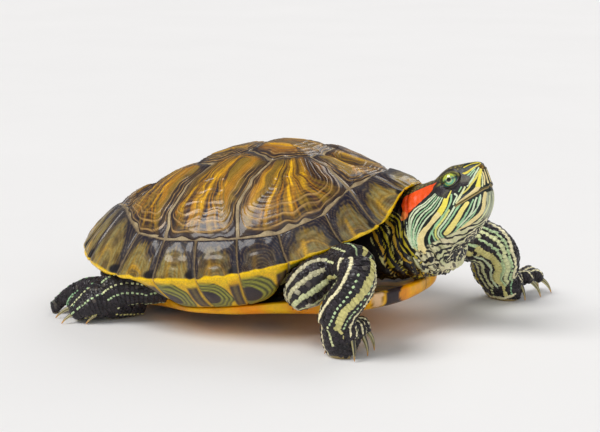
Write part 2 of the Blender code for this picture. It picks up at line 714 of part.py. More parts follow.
def make_turtle():
    """Build every part, cut the flesh back where it meets the shell, and set the frame."""
    clear_scene()
    turtle = bpy.data.collections.new("red_eared_slider")
    cutters = bpy.data.collections.new("cutters")
    for collection in (turtle, cutters):
        bpy.context.scene.collection.children.link(collection)
    carapace = make_carapace(turtle)
    plastron = make_plastron(turtle)
    trunk = make_trunk(turtle)
    neck = make_neck(turtle)
    make_head(turtle, cutters)
    roots = make_forelegs(turtle, cutters)
    feet = []
    for name, hand, swing in (("hindleg_right", -1, 0.0), ("hindleg_left", 1, HIND_SWING)):
        upper, lower, foot = make_hindleg(name, hand, swing, turtle, cutters)
        roots.append(upper)
        feet.extend((lower, foot))
    roots.append(make_tail(turtle))
    for flesh in (neck, *roots, *feet):
        make_room(flesh, (carapace, plastron), cutters, 2 * GAP)
    make_room(trunk, (carapace, plastron, neck, *roots), cutters)
    for item in turtle.objects:
        for vert in item.data.vertices:
            x, y, z = vert.co
            vert.co = ((x - CENTRE_X) * MM, (y - CENTRE_Y) * MM, z * MM)


make_turtle()
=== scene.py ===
"""Looks of a life-size red-eared slider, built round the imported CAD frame.

Places are in millimetres in the frame that the CAD was drawn in: the turtle faces +X, its left
side is +Y and it stands on z = 0. to_metres() takes them to the row frame. Shell, head and limbs
repeat the sizes of the CAD; on top come scutes, one skin, its scales, eyes and claws.
"""
import math

import bmesh
import bpy
import numpy as np
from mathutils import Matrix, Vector
from mathutils.bvhtree import BVHTree
from mathutils.kdtree import KDTree


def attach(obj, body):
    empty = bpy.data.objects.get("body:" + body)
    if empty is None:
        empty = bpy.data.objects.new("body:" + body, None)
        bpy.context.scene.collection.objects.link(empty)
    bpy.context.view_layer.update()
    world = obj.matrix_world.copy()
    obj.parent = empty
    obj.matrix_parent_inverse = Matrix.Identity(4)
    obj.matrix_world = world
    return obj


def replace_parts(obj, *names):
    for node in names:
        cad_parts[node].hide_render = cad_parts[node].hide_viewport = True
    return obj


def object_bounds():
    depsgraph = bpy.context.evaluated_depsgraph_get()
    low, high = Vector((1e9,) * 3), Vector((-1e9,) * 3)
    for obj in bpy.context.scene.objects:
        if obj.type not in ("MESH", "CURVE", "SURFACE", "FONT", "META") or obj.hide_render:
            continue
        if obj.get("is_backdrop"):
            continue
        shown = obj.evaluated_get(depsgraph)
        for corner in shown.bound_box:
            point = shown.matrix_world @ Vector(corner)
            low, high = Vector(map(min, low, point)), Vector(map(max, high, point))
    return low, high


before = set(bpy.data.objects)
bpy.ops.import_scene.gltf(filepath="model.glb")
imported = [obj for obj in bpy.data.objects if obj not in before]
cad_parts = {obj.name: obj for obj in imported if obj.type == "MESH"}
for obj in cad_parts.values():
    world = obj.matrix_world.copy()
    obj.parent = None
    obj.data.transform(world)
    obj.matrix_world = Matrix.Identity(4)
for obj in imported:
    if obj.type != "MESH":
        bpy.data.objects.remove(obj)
cad_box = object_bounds()

MM = 0.001
CENTRE = np.array([10.43, 11.23, 0.0])     # middle of the CAD model in the drawing frame

# ---------------------------------------------------------------- colours and small tools


def hue(text):
    """Linear colour from a hex one."""
    part = [int(text[i:i + 2], 16) / 255 for i in (1, 3, 5)]
    return np.array([v / 12.92 if v <= 0.04045 else ((v + 0.055) / 1.055) ** 2.4 for v in part])


def mix(a, b, share):
    """Blend of two colours, or of two fields of them, by a number or a field."""
    share = np.clip(np.asarray(share, float), 0, 1)[..., None]
    return np.asarray(a) * (1 - share) + np.asarray(b) * share


def layers(colour, *coats):
    """A colour with coats over it in turn, each a colour and its share."""
    for tint, share in coats:
        colour = mix(colour, tint, share)
    return colour


def step(low, high, value):
    """Smooth rise from 0 at low to 1 at high."""
    t = np.clip((np.asarray(value, float) - low) / (high - low), 0, 1)
    return t * t * (3 - 2 * t)


def bump(value, width):
    """1 at zero, falling off over the width."""
    return np.exp(-(np.asarray(value) / width) ** 2)


def waves(x, y, size, seed, terms=7):
    """Smooth irregular field, about -1 to 1, with features of that size."""
    draw = np.random.default_rng(seed)
    total = 0.0
    for _ in range(terms):
        turn, phase = draw.uniform(0, 2 * np.pi, 2)
        stretch = draw.uniform(0.6, 1.6)
        along = x * math.cos(turn) + y * math.sin(turn)
        total = total + np.sin(along * 2 * np.pi / (size * stretch) + phase)
    return total / math.sqrt(terms)


def unit(vectors):
    """Vectors of length one."""
    vectors = np.asarray(vectors, float)
    length = np.linalg.norm(vectors, axis=-1, keepdims=True)
    return vectors / np.maximum(length, 1e-9)


def to_metres(points):
    """From the drawing frame to the row frame."""
    return (np.asarray(points, float) - CENTRE) * MM


def smooth_path(stations, steps):
    """Rows of a Catmull-Rom curve through the stations; steps is a count or the places wanted."""
    points = np.array(stations, float)
    padded = np.vstack([2 * points[0] - points[1], points, 2 * points[-1] - points[-2]])
    places = np.linspace(0.0, len(points) - 1.0, steps) if np.isscalar(steps) else np.asarray(steps)
    i = np.minimum(places.astype(int), len(points) - 2)
    u = (places - i)[:, None]
    a, b, c, d = padded[i], padded[i + 1], padded[i + 2], padded[i + 3]
    return 0.5 * (2 * b + (c - a) * u + (2 * a - 5 * b + 4 * c - d) * u ** 2
                  + (3 * b - 3 * c + d - a) * u ** 3)


def quads(rows, columns, wrap=False):
    """Faces of a grid of points, row by row."""
    i = np.arange(rows - 1)[:, None] * columns
    j = np.arange(columns if wrap else columns - 1)[None, :]
    k = (j + 1) % columns
    return np.stack([i + j, i + k, i + columns + k, i + columns + j], -1).reshape(-1, 4).tolist()


def closed_loft(rings):
    """Points and faces of rings of equal count, capped at both ends with one face."""
    count = rings.shape[1]
    faces = quads(len(rings), count, wrap=True)
    faces.append(list(range(count))[::-1])
    faces.append(list(range((len(rings) - 1) * count, len(rings) * count)))
    return rings.reshape(-1, 3), faces


def add_item(name, data):
    """Object in the scene for a mesh, a camera or a light."""
    item = bpy.data.objects.new(name, data)
    bpy.context.scene.collection.objects.link(item)
    return item


def add_mesh(name, places, faces):
    """Mesh object with its points at those places."""
    mesh = bpy.data.meshes.new(name)
    mesh.from_pydata(places.tolist(), [], faces)
    return add_item(name, mesh)


def build(name, points, faces, finish, fields):
    """Smooth mesh piece that rides on the root; fields are colours or numbers for each point."""
    made = add_mesh(name, to_metres(points), faces)
    for key, values in fields.items():
        add_field(made.data, key, values)
    made.data.shade_smooth()
    made.data.materials.append(finish)
    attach(made, "root")
    return made


def add_field(mesh, key, values):
    """Store a number or a colour on each point of a mesh."""
    values = np.asarray(values, np.float32)
    if values.ndim == 1:
        layer = mesh.attributes.new(key, "FLOAT", "POINT")
        layer.data.foreach_set("value", values)
        return
    layer = mesh.attributes.new(key, "FLOAT_COLOR", "POINT")
    layer.data.foreach_set("color", np.hstack([values, np.ones((len(values), 1))]).ravel())


def outward(piece):
    """Turn the faces of a closed piece outward."""
    mesh_data = bmesh.new()
    mesh_data.from_mesh(piece.data)
    bmesh.ops.recalc_face_normals(mesh_data, faces=mesh_data.faces)
    mesh_data.to_mesh(piece.data)
    mesh_data.free()
    return piece


# ---------------------------------------------------------------- materials

class Finish:
    """A node material, wired with short calls."""

    def __init__(self, name, roughness=0.5, coat=0.0, coat_roughness=0.1, specular=0.5):
        self.made = bpy.data.materials.new(name)
        self.made.use_nodes = True
        self.nodes = self.made.node_tree.nodes
        self.links = self.made.node_tree.links
        self.shader = self.nodes["Principled BSDF"]
        self.set("Roughness", roughness)
        self.set("Coat Weight", coat)
        self.set("Coat Roughness", coat_roughness)
        self.set("Specular IOR Level", specular)
        self.height = None
        self.place = self.node("ShaderNodeTexCoord", "Object", {})

    def wire(self, socket, value):
        """A wire into a socket, or a number or a colour on it."""
        if isinstance(value, bpy.types.NodeSocket):
            self.links.new(value, socket)
        else:
            socket.default_value = (*value, 1.0) if np.ndim(value) else value

    def set(self, socket, value):
        """A number, a colour or a wire for the shader's own socket."""
        self.wire(self.shader.inputs[socket], value)

    def node(self, kind, output, values, **options):
        """Output of a new node with values or wires in its sockets."""
        node = self.nodes.new(kind)
        for key, option in options.items():
            setattr(node, key, option)
        for socket, value in values.items():
            self.wire(node.inputs[socket], value)
        return node.outputs[output]

    def field(self, key, output="Color"):
        """What is stored on the points."""
        return self.node("ShaderNodeAttribute", output, {}, attribute_name=key)

    def noise(self, size, detail=4.0):
        """Noise with features of that many millimetres."""
        return self.node("ShaderNodeTexNoise", "Fac", {
            "Vector": self.place, "Scale": 1 / (size * MM), "Detail": detail, "Roughness": 0.55})

    def cells(self, size):
        """Distance in a pattern of cells of that many millimetres."""
        return self.node("ShaderNodeTexVoronoi", "Distance", {
            "Vector": self.place, "Scale": 1 / (size * MM)})

    def ramp(self, value, low, high, start=0.0, end=1.0):
        """Number remapped from low-high to start-end, clamped."""
        return self.node("ShaderNodeMapRange", "Result", {
            "Value": value, "From Min": low, "From Max": high, "To Min": start, "To Max": end})

    def total(self, a, b):
        """Sum of two numbers or wires."""
        return self.node("ShaderNodeMath", 0, {0: a, 1: b}, operation="ADD")

    def blend(self, share, a, b, kind="MIX"):
        """Mix of two colours, each a wire or a fixed colour."""
        return self.node("ShaderNodeMix", 2, {0: share, 6: a, 7: b}, data_type="RGBA", blend_type=kind)

    def shade(self, colour, level):
        """Base colour: a colour times a level of light and dark."""
        self.set("Base Color", self.blend(1.0, colour, level, "MULTIPLY"))

    def relief(self, value, depth):
        """Bump of that many millimetres, on top of any before it."""
        values = {"Strength": 1.0, "Distance": depth * MM, "Height": value}
        if self.height is not None:
            values["Normal"] = self.height
        self.height = self.node("ShaderNodeBump", "Normal", values)
        self.set("Normal", self.height)


def tinted(name, contrast=0.25, grain=1.2, depth=0.05, **options):
    """Finish that takes its colour from the points, with mottling and a fine relief."""
    made = Finish(name, **options)
    fine, broad = made.noise(grain), made.noise(grain * 6, 3.0)
    made.shade(made.field("tint"), made.total(
        made.ramp(fine, 0.3, 0.7, 1 - contrast, 1 + contrast),
        made.ramp(broad, 0.3, 0.7, -contrast * 0.6, contrast * 0.6)))
    made.relief(fine, depth)
    return made


# ---------------------------------------------------------------- shell shape, as in the CAD

SHELL_SCALE = 85.0
FRONT_LENGTH, REAR_LENGTH = 78.7, 86.0
HALF_WIDTH = 68.4
FRONT_NARROWING = 0.132
RIM_POWER = 1.985
RIM_HEIGHT = 20.2
RIM_FRONT, RIM_REAR = (16.5, 2.25), (13.3, 2.72)      # rise and power
NUCHAL_RISE, NUCHAL_HALF_WIDTH = 10.8, 19.3
DOME_HEIGHT = 70.0
RIDGE_TOP, RIDGE_SHARE = 0.082, 0.57
RIDGE_FRONT, RIDGE_REAR = (102.3, 2.43), (38.1, 1.80)
DOME_FRONT, DOME_SIDE, DOME_REAR = (2.66, 0.86), (1.95, 0.724), (1.94, 0.85)
SHELL_PITCH = math.radians(7.1)
SHELL_LIFT = 8.4
BRIDGE_FRONT, BRIDGE_REAR, BRIDGE_FADE = 30.0, -20.0, 3.0
BRIDGE_REACH, FREE_REACH = 0.79, 0.88
BRIDGE_EDGE_HEIGHT = 4.8
BELLY_LENGTHS, BELLY_HALF_WIDTHS = (80.0, 76.0), (48.5, 41.0)     # front, rear
BELLY_POWER, BELLY_DROP_FRONT, BELLY_RISE_REAR = 2.7, 3.0, 2.6
BELLY_EDGE_HEIGHT = 8.0
UNDER_RIM_HEIGHT = (RIM_HEIGHT + BRIDGE_EDGE_HEIGHT) / 2 - 1.5
SHELL_MIDDLE = (0.0, 0.0, 24.0)


def super_circle(angles, power):
    """Cosine and sine bent to a rounder or squarer outline."""
    across = np.sign(np.cos(angles)) * np.abs(np.cos(angles)) ** (2 / power)
    along = np.sign(np.sin(angles)) * np.abs(np.sin(angles)) ** (2 / power)
    return across, along


def front_share(angles):
    """1 at the front of the shell, 0 at the rear."""
    return 0.5 + 0.5 * np.tanh(np.cos(angles) / 0.25)


def rim_outline(angles):
    """Plan of the carapace's rim."""
    x, y = super_circle(angles, RIM_POWER)
    x = x * np.where(x > 0, FRONT_LENGTH, REAR_LENGTH)
    return x, y * HALF_WIDTH * (1 - FRONT_NARROWING * x / SHELL_SCALE)


def rim_height(angles):
    """Height of the rim above the belly."""
    x, y = rim_outline(angles)
    front = RIM_FRONT[0] * np.abs(x / FRONT_LENGTH) ** RIM_FRONT[1]
    rear = RIM_REAR[0] * np.abs(x / REAR_LENGTH) ** RIM_REAR[1]
    nuchal = NUCHAL_RISE * np.exp(-(y / NUCHAL_HALF_WIDTH) ** 4) * front_share(angles)
    return RIM_HEIGHT + np.where(x > 0, front + nuchal, rear)


def dome(angles, reach, depth=0.0):
    """Place on the carapace from the ridge (reach 0) to the rim (1), or that far inside it."""
    angles, reach = np.broadcast_arrays(np.asarray(angles, float), np.asarray(reach, float))
    rim_x, rim_y = rim_outline(angles)
    ridge_x = RIDGE_SHARE * rim_x
    from_top = ridge_x / SHELL_SCALE - RIDGE_TOP
    front = RIDGE_FRONT[0] * np.abs(from_top) ** RIDGE_FRONT[1]
    rear = RIDGE_REAR[0] * np.abs(from_top) ** RIDGE_REAR[1]
    ridge_z = DOME_HEIGHT - np.where(from_top > 0, front, rear)
    ahead, behind = np.clip(np.cos(angles), 0, 1) ** 2, np.clip(-np.cos(angles), 0, 1) ** 2
    power, fullness = [ahead * DOME_FRONT[i] + behind * DOME_REAR[i] + (1 - ahead - behind) * DOME_SIDE[i]
                       for i in (0, 1)]
    base = rim_height(angles)
    fall = np.clip(1 - reach ** power, 0, 1) ** fullness
    x = (ridge_x + (rim_x - ridge_x) * reach) * (1 - depth / SHELL_SCALE)
    y = rim_y * reach * (1 - depth / HALF_WIDTH)
    z = base + (ridge_z - base) * fall - depth * np.sqrt(np.clip(1 - reach ** 2, 0, 1))
    return np.stack([x, y, z], -1)


def bridge_share(x):
    """1 beside the bridge, 0 at the leg openings."""
    front = 1 / (1 + np.exp((x - BRIDGE_FRONT) / BRIDGE_FADE))
    rear = 1 / (1 + np.exp((BRIDGE_REAR - x) / BRIDGE_FADE))
    return front * rear


def under_rim(angles, reach_bridge, reach_free, rise_bridge, rise_free):
    """Place under the marginals, low beside the bridge and close to the rim elsewhere."""
    rim_x, rim_y = rim_outline(angles)
    share = bridge_share(rim_x * BRIDGE_REACH)
    reach = share * reach_bridge + (1 - share) * reach_free
    z = share * rise_bridge + (1 - share) * (rim_height(angles) + rise_free)
    return np.stack([rim_x * reach, rim_y * reach, z], -1)


def belly_ring(angles, inset, z_free, z_bridge, sag):
    """Ring of the belly plate, that far inside its outline."""
    x, y = super_circle(angles, BELLY_POWER)
    ahead = front_share(angles)
    y = y * (ahead * BELLY_HALF_WIDTHS[0] + (1 - ahead) * BELLY_HALF_WIDTHS[1])
    x = x * np.where(x > 0, *BELLY_LENGTHS)
    rim_x, rim_y = rim_outline(angles)
    share = bridge_share(rim_x * BRIDGE_REACH)
    x = share * rim_x * BRIDGE_REACH + (1 - share) * x
    y = share * rim_y * BRIDGE_REACH + (1 - share) * y
    scale = 1 - inset / BELLY_HALF_WIDTHS[0]
    along = x * scale / BELLY_LENGTHS[0]
    drop = BELLY_DROP_FRONT * (0.5 + 0.5 * np.tanh(along * 4))
    rise = BELLY_RISE_REAR * np.clip(-along, 0, 1) ** 2
    z = share * (z_bridge - drop * sag) + (1 - share) * (z_free - drop) + rise
    return np.stack([x * scale, y * scale, z], -1)


def shell_to_world(points):
    """From the level shell frame to the standing one."""
    points = np.asarray(points, float)
    x, y, z = points[..., 0], points[..., 1], points[..., 2]
    turned_x = x * math.cos(SHELL_PITCH) - z * math.sin(SHELL_PITCH)
    turned_z = x * math.sin(SHELL_PITCH) + z * math.cos(SHELL_PITCH) + SHELL_LIFT
    return np.stack([turned_x, y, turned_z], -1)


def dome_over(plan):
    """Height of the dome over places (x, y) of its plan, found by halving the range of angles."""
    x, y = plan[..., 0], plan[..., 1]
    y = np.maximum(np.abs(y), 0.02)
    low, high = np.full(x.shape, 1e-4), np.full(x.shape, np.pi - 1e-4)
    for _ in range(34):
        middle = (low + high) / 2
        rim_x, rim_y = rim_outline(middle)
        ahead = rim_x * (RIDGE_SHARE + (1 - RIDGE_SHARE) * y / rim_y) > x
        low, high = np.where(ahead, middle, low), np.where(ahead, high, middle)
    reach = np.clip(y / rim_outline(low)[1], 0, 0.995)
    return dome(low, reach)[..., 2]


# ---------------------------------------------------------------- scutes

# Seam corners of the right side in plan; the left side mirrors them.
FRONT_MIDDLE, NUCHAL_CORNER, COLLAR_CORNER = (65.1, 0.0), (63.1, -8.8), (57.9, -23.1)
RIDGE_CORNERS = ((35.9, -12.7), (21.5, -21.9), (5.5, -13.6), (-9.0, -21.5), (-25.0, -13.0),
                 (-39.0, -19.5), (-53.0, -9.5))
# Marginal seams: angle at the rim, angle and reach at the inner end.
MARGINAL_SEAMS = ((-8.5, -14.3, 0.598), (-24.5, -32.5, 0.705), (-39.8, -45.0, 0.858),
                  (-58.5, -61.5, 0.905), (-74.2, -75.5, 0.895), (-88.5, -89.8, 0.885),
                  (-103.2, -101.5, 0.873), (-119.0, -114.0, 0.833), (-138.2, -133.0, 0.652),
                  (-149.5, -144.0, 0.60), (-160.0, -156.0, 0.59), (-170.0, -168.0, 0.60),
                  (-180.0, -180.0, 0.61))
COSTAL_SEAMS = (((18.6, -57.5), (17.2, -54.9), (14.9, -47.8), (16.8, -36.9), (21.5, -21.9)),
                ((-16.0, -60.0), (-16.8, -57.9), (-18.2, -50.2), (-16.5, -37.0), (-9.0, -21.5)),
                ((-50.0, -35.4), (-46.0, -27.0), (-39.0, -19.5)))
LAST_COSTAL_ANGLE = -162.0
# Costals, front first: grid, oldest place, and streaks as place, width, strength, start and end.
COSTALS = (((126, 104), (0.52, 0.78),
            ((0.50, 0.035, 1.0, 0.12, 0.92), (0.36, 0.05, 0.6, 0.1, 0.8),
             (0.66, 0.04, 0.55, 0.2, 0.95), (0.82, 0.03, 0.4, 0.2, 0.9))),
           ((112, 112), (0.55, 0.78),
            ((0.50, 0.05, 1.0, 0.15, 0.90), (0.60, 0.02, 0.8, 0.1, 0.9),
             (0.30, 0.03, 0.45, 0.1, 0.9), (0.75, 0.04, 0.5, 0.1, 0.9))),
           ((112, 100), (0.55, 0.78),
            ((0.35, 0.03, 0.8, 0.1, 0.9), (0.52, 0.03, 0.7, 0.1, 0.9), (0.68, 0.03, 0.7, 0.1, 0.9))),
           ((80, 74), (0.5, 0.7), ((0.5, 0.05, 0.6, 0.1, 0.9),)))


def seam_reach(angles):
    """Reach of the seam between the marginals and the rest, angles in degrees from -180 to 0."""
    known = sorted((row[1], row[2]) for row in MARGINAL_SEAMS)
    known.append((0.0, 0.58))
    return np.interp(angles, *zip(*known))


def lower_seam(start, end, count=24):
    """Plan of the marginal seam between two angles."""
    angles = np.linspace(start, end, count)
    return dome(np.radians(angles), seam_reach(angles))[:, :2]


def resample(points, count):
    """Evenly spaced places along a line of points."""
    points = np.asarray(points, float)
    length = np.concatenate([[0], np.cumsum(np.linalg.norm(np.diff(points, axis=0), axis=1))])
    places = np.linspace(0, length[-1], count)
    return np.stack([np.interp(places, length, points[:, i]) for i in range(points.shape[1])], -1)


def patch(low, high, near, far, columns, rows):
    """Plan grid [row][column] inside four edges: low and high run along, near and far across."""
    low, high = resample(low, columns), resample(high, columns)
    near, far = resample(near, rows), resample(far, rows)
    u, v = np.linspace(0, 1, columns)[None, :, None], np.linspace(0, 1, rows)[:, None, None]
    grid = (1 - v) * low[None] + v * high[None] + (1 - u) * near[:, None] + u * far[:, None]
    grid -= ((1 - u) * (1 - v) * low[0] + u * (1 - v) * low[-1]
             + (1 - u) * v * high[0] + u * v * high[-1])
    return grid


def grid_normals(grid):
    """Upward or outward normals of a grid of places."""
    return unit(np.cross(np.gradient(grid, axis=1), np.gradient(grid, axis=0)))


def edge_distance(grid):
    """Millimetres from each place of a grid to its nearest side, along the grid's own lines."""
    across = np.linalg.norm(np.diff(grid, axis=0), axis=-1)
    along = np.linalg.norm(np.diff(grid, axis=1), axis=-1)
    rows = np.cumsum(np.vstack([np.zeros((1, grid.shape[1])), across]), axis=0)
    columns = np.cumsum(np.hstack([np.zeros((grid.shape[0], 1)), along]), axis=1)
    return np.minimum(np.minimum(rows, rows[-1:] - rows), np.minimum(columns, columns[:, -1:] - columns))


def rings_from(centre, shape):
    """0 at the scute's oldest place, 1 at its edge, on nested copies of its outline."""
    v, u = np.meshgrid(np.linspace(0, 1, shape[0]), np.linspace(0, 1, shape[1]), indexing="ij")
    a, b = centre
    parts = np.stack([(u - a) / (1 - a), (a - u) / a, (v - b) / (1 - b), (b - v) / b])
    power = 9
    return (np.clip(parts, 0, None) ** power).sum(0) ** (1 / power), u, v


def terraces(ring, lines, depth, width):
    """Low steps of growth at the given rings."""
    total = 0.0
    for line in lines:
        total = total - depth * step(-width, width, ring - line) + depth * 0.6 * bump(ring - line, width)
    return total


class Heap:
    """Grids gathered into one mesh; each becomes a closed plate."""

    def __init__(self):
        self.points, self.faces, self.tints, self.count = [], [], [], 0

    def add(self, grid, normals, tints, thickness, flip):
        """A plate: its outer grid, a rim round it and one face or grid behind."""
        rows, columns = grid.shape[:2]
        index = np.arange(rows * columns).reshape(rows, columns)
        rim = np.concatenate([index[0, :-1], index[:-1, -1], index[-1, :0:-1], index[:0:-1, 0]])
        flat, away = grid.reshape(-1, 3), normals.reshape(-1, 3)
        back = flat[rim] - away[rim] * thickness
        faces = np.array(quads(rows, columns))
        under = np.arange(len(rim)) + rows * columns
        sides = np.stack([rim, under, np.roll(under, -1), np.roll(rim, -1)], -1)
        if flip:
            faces, sides, under = faces[:, ::-1], sides[:, ::-1], under[::-1]
        self.faces += (faces + self.count).tolist() + (sides + self.count).tolist()
        self.faces.append((under[::-1] + self.count).tolist())
        self.points.append(np.vstack([flat, back]))
        colours = tints.reshape(-1, 3)
        self.tints.append(np.vstack([colours, colours[rim]]))
        self.count += len(self.points[-1])

    def add_pair(self, grid, normals, tints, thickness, mirror):
        """A plate, or it and its mirror image."""
        self.add(grid, normals, tints, thickness, False)
        if mirror:
            self.add(grid * (1, -1, 1), normals * (1, -1, 1), tints, thickness, True)

    def finish(self, name, finish, slot):
        """The mesh piece, its faces turned outward."""
        made = build(name, np.vstack(self.points), self.faces, finish,
                     {"tint": np.vstack(self.tints)})
        return outward(made)


DARK, BROWN, OLIVE = hue("#291d22"), hue("#4d3613"), hue("#85681f")
AMBER, GOLD, SEAM = hue("#ad740f"), hue("#e6ae0a"), hue("#a8865c")
GREY_OLIVE, YELLOW = hue("#8f8350"), hue("#f2c404")
SCUTE_THICKNESS, MARGINAL_THICKNESS = 1.2, 0.9
SCUTE_LIFT, GROWTH_LIFT = 0.30, 0.08          # over the bone, and more of it for each growth line
GROWTH_STEP, GROWTH_WIDTH = 0.24, 0.007       # millimetres down, and share of the way to the edge
THREADS = 120                                 # radians of the fine growth threads, middle to edge
MARGINAL_SEED, MARGINAL_SEED_STEP = 200, 9


def thread_wave(ring, u, v, seed):
    """Fine growth threads, -1 in a groove and 1 on a crest."""
    return np.sin(ring * THREADS + 0.9 * waves(u * 5, v * 5, 1.2, seed + 3))


def contrasted(colour, middle, gain, floor):
    """Colour pushed away from a middle one."""
    return np.clip(middle + (colour - middle) * gain, floor, 1)


def scute_tint(ring, u, v, edge, centre, seed, streaks, shape):
    """Colour of a vertebral or costal scute: amber streaks fanning from its oldest place."""
    fan = centre[0] + (u - centre[0]) / np.maximum(ring, 0.3)
    fibres = waves(fan * 46, ring * 1.1, 1.6, seed + 8)
    olive = 0.6 + 0.5 * waves(fan * 13, ring, 1.5, seed) + 0.25 * fibres
    haze = step(0.0, 0.9, waves(fan * 20, ring * 1.4, 1.3, seed + 2) + 0.35 * fibres)
    shadow = step(0.3, 0.8, waves(fan * 12 + 3, ring * 2.6, 1.4, seed + 1) + 0.3 * fibres)
    colour = layers(BROWN, (OLIVE, olive), (AMBER, haze * 0.7 * step(1.0, 0.75, ring)), (DARK, shadow * 0.7))
    for place, width, strength, start, end in streaks:
        wobble = 0.010 * waves(ring * 9, fan * 3, 1.0, seed + 5)
        band = bump(u + wobble - place - 0.10 * (0.5 - v) * shape, width)
        band = band * step(start, start + 0.12, 1 - v) * step(end, end - 0.15, 1 - v)
        band = band * (0.75 + 0.35 * fibres)
        colour = mix(colour, mix(AMBER, GOLD, band), np.clip(band * strength, 0, 1))
    # Painted light on the fine growth threads: a pale painted highlight on each raised crest and painted
    # shade in each groove, over the outer part of the scute.
    threads, outer = thread_wave(ring, u, v, seed), step(0.25, 0.7, ring)
    colour = layers(colour, (mix(AMBER, GREY_OLIVE, 0.4), step(0.55, 1.0, threads) * 0.30 * outer),
                    (DARK, step(-0.5, -1.0, threads) * 0.30 * outer))
    colour = contrasted(colour, mix(BROWN, OLIVE, 0.45), 1.45, 0.004)
    rim = edge + 1.2 * waves(u * 8, v * 8, 1.5, seed + 4)
    pale = mix(SEAM, hue("#d8c59c"), 0.4 + 0.4 * waves(u * 14, v * 14, 1.6, seed + 6))
    return layers(colour, (DARK, 0.88 * step(6.0, 2.2, rim)), (pale, step(0.72, 0.36, edge) * 0.95))


def lay_scute(heap, edges, size, centre, seed, streaks, lines, mirror, shape=1.0):
    """Put one scute, or it and its mirror image, on the dome."""
    plan = patch(*edges, *size)
    drift = np.stack([waves(plan[..., 0], plan[..., 1], 9, number) for number in (71, 72)], -1)
    plan = plan + 0.45 * drift * (np.abs(plan[..., 1:]) > 0.5)
    height = dome_over(plan)
    for _ in range(5):
        height[1:-1, 1:-1] = (height[1:-1, :-2] + height[1:-1, 2:] + height[:-2, 1:-1]
                              + height[2:, 1:-1]) / 4
    grid = shell_to_world(np.dstack([plan, height]))
    normals = grid_normals(grid)
    normals *= np.sign(normals[..., 2:])
    edge = edge_distance(grid)
    ring, u, v = rings_from(centre, edge.shape)
    lift = SCUTE_LIFT + GROWTH_LIFT * len(lines) - 0.75 * step(1.0, 0.0, edge) + 0.35 * step(0.5, 6.0, edge)
    lift = lift + terraces(ring, lines, GROWTH_STEP, GROWTH_WIDTH)
    lift = lift + 0.05 * thread_wave(ring, u, v, seed)
    lift = lift + 0.10 * waves(u * 6, v * 6, 2.4, seed + 9)
    grid = grid + normals * lift[..., None]
    tints = scute_tint(ring, u, v, edge, centre, seed, streaks, shape)
    # Painted highlight: a pale line on the raised lip of each of the last three growth lines, fading out near
    # the scute's high edge.
    for line in lines[-3:]:
        drift = 0.006 * waves(u * 9, v * 9, 2.0, seed + 12)
        ridge = bump(ring - line + drift, GROWTH_WIDTH) * step(0.1, 0.35, 1 - v) * 0.9
        tints = mix(tints, hue("#c39a5c"), ridge)
    heap.add_pair(grid, normals, tints, SCUTE_THICKNESS, mirror)


def mirrored(points):
    """Line of plan points carried on from the right side to its mirror image."""
    points = np.asarray(points, float)
    return np.vstack([points, points[::-1] * (1, -1)])


def make_scutes(finish):
    """Vertebral and costal scutes."""
    corners = [np.array(corner) for corner in RIDGE_CORNERS]
    rear = lower_seam(LAST_COSTAL_ANGLE, -180.0)
    bands = [mirrored([COLLAR_CORNER, NUCHAL_CORNER, FRONT_MIDDLE]),
             *(mirrored([corners[i]]) for i in (0, 2, 4, 6)), mirrored(rear)]
    collar = [COLLAR_CORNER, (47.0, -17.7), corners[0]]
    sides = [collar, corners[0:3], corners[2:5], corners[4:7], [corners[6], rear[0]]]
    spine = Heap()
    for number, (ahead, behind, side) in enumerate(zip(bands, bands[1:], sides)):
        other = np.asarray(side, float) * (1, -1)
        streaks = ((0.30, 0.05, 0.55, 0.0, 1.0), (0.70, 0.05, 0.55, 0.0, 1.0))
        lay_scute(spine, (ahead, behind, side, other), (104, 84), (0.5, 0.62), 11 + number, streaks,
                  (0.42, 0.58, 0.72, 0.83, 0.92), False, 0.0)
    spine.finish("carapace_vertebrals", finish, "shell")
    costals = Heap()
    starts = [-32.5, -75.5, -101.5, -133.0, LAST_COSTAL_ANGLE]
    lows = [lower_seam(a, b) for a, b in zip(starts, starts[1:])]
    tops = [corners[0:2], corners[1:4], corners[3:6], corners[5:7]]
    ends = [collar, *COSTAL_SEAMS, [lows[3][-1], corners[6]]]
    for k, (size, centre, streaks) in enumerate(COSTALS):
        lay_scute(costals, (lows[k], tops[k], ends[k], ends[k + 1]), size, centre, 31 + 7 * k, streaks,
                  (0.34, 0.50, 0.63, 0.74, 0.84, 0.93), True)
    costals.finish("carapace_costals", finish, "shell")


def rim_section(angles, place, inner_reach):
    """Marginals' cross-section: place 0 at the inner seam, 1 at the rim, 2 at the belly plate."""
    outer = np.clip(place, 0, 1)
    reach = inner_reach + (1 - inner_reach) * (1 - (1 - outer) ** 1.8)
    top = dome(angles, np.clip(reach, 0, 1))
    rim = dome(angles, 1.0)
    under = under_rim(angles, 0.91, 0.94, UNDER_RIM_HEIGHT, -0.6)
    inner = under_rim(angles, BRIDGE_REACH, FREE_REACH, BRIDGE_EDGE_HEIGHT, 0.0)
    t = np.clip(place - 1, 0, 1)[..., None]
    curve = rim + (4 * under - inner - 3 * rim) * t + 2 * (rim + inner - 2 * under) * t ** 2
    return np.where((place <= 1)[..., None], top, curve)


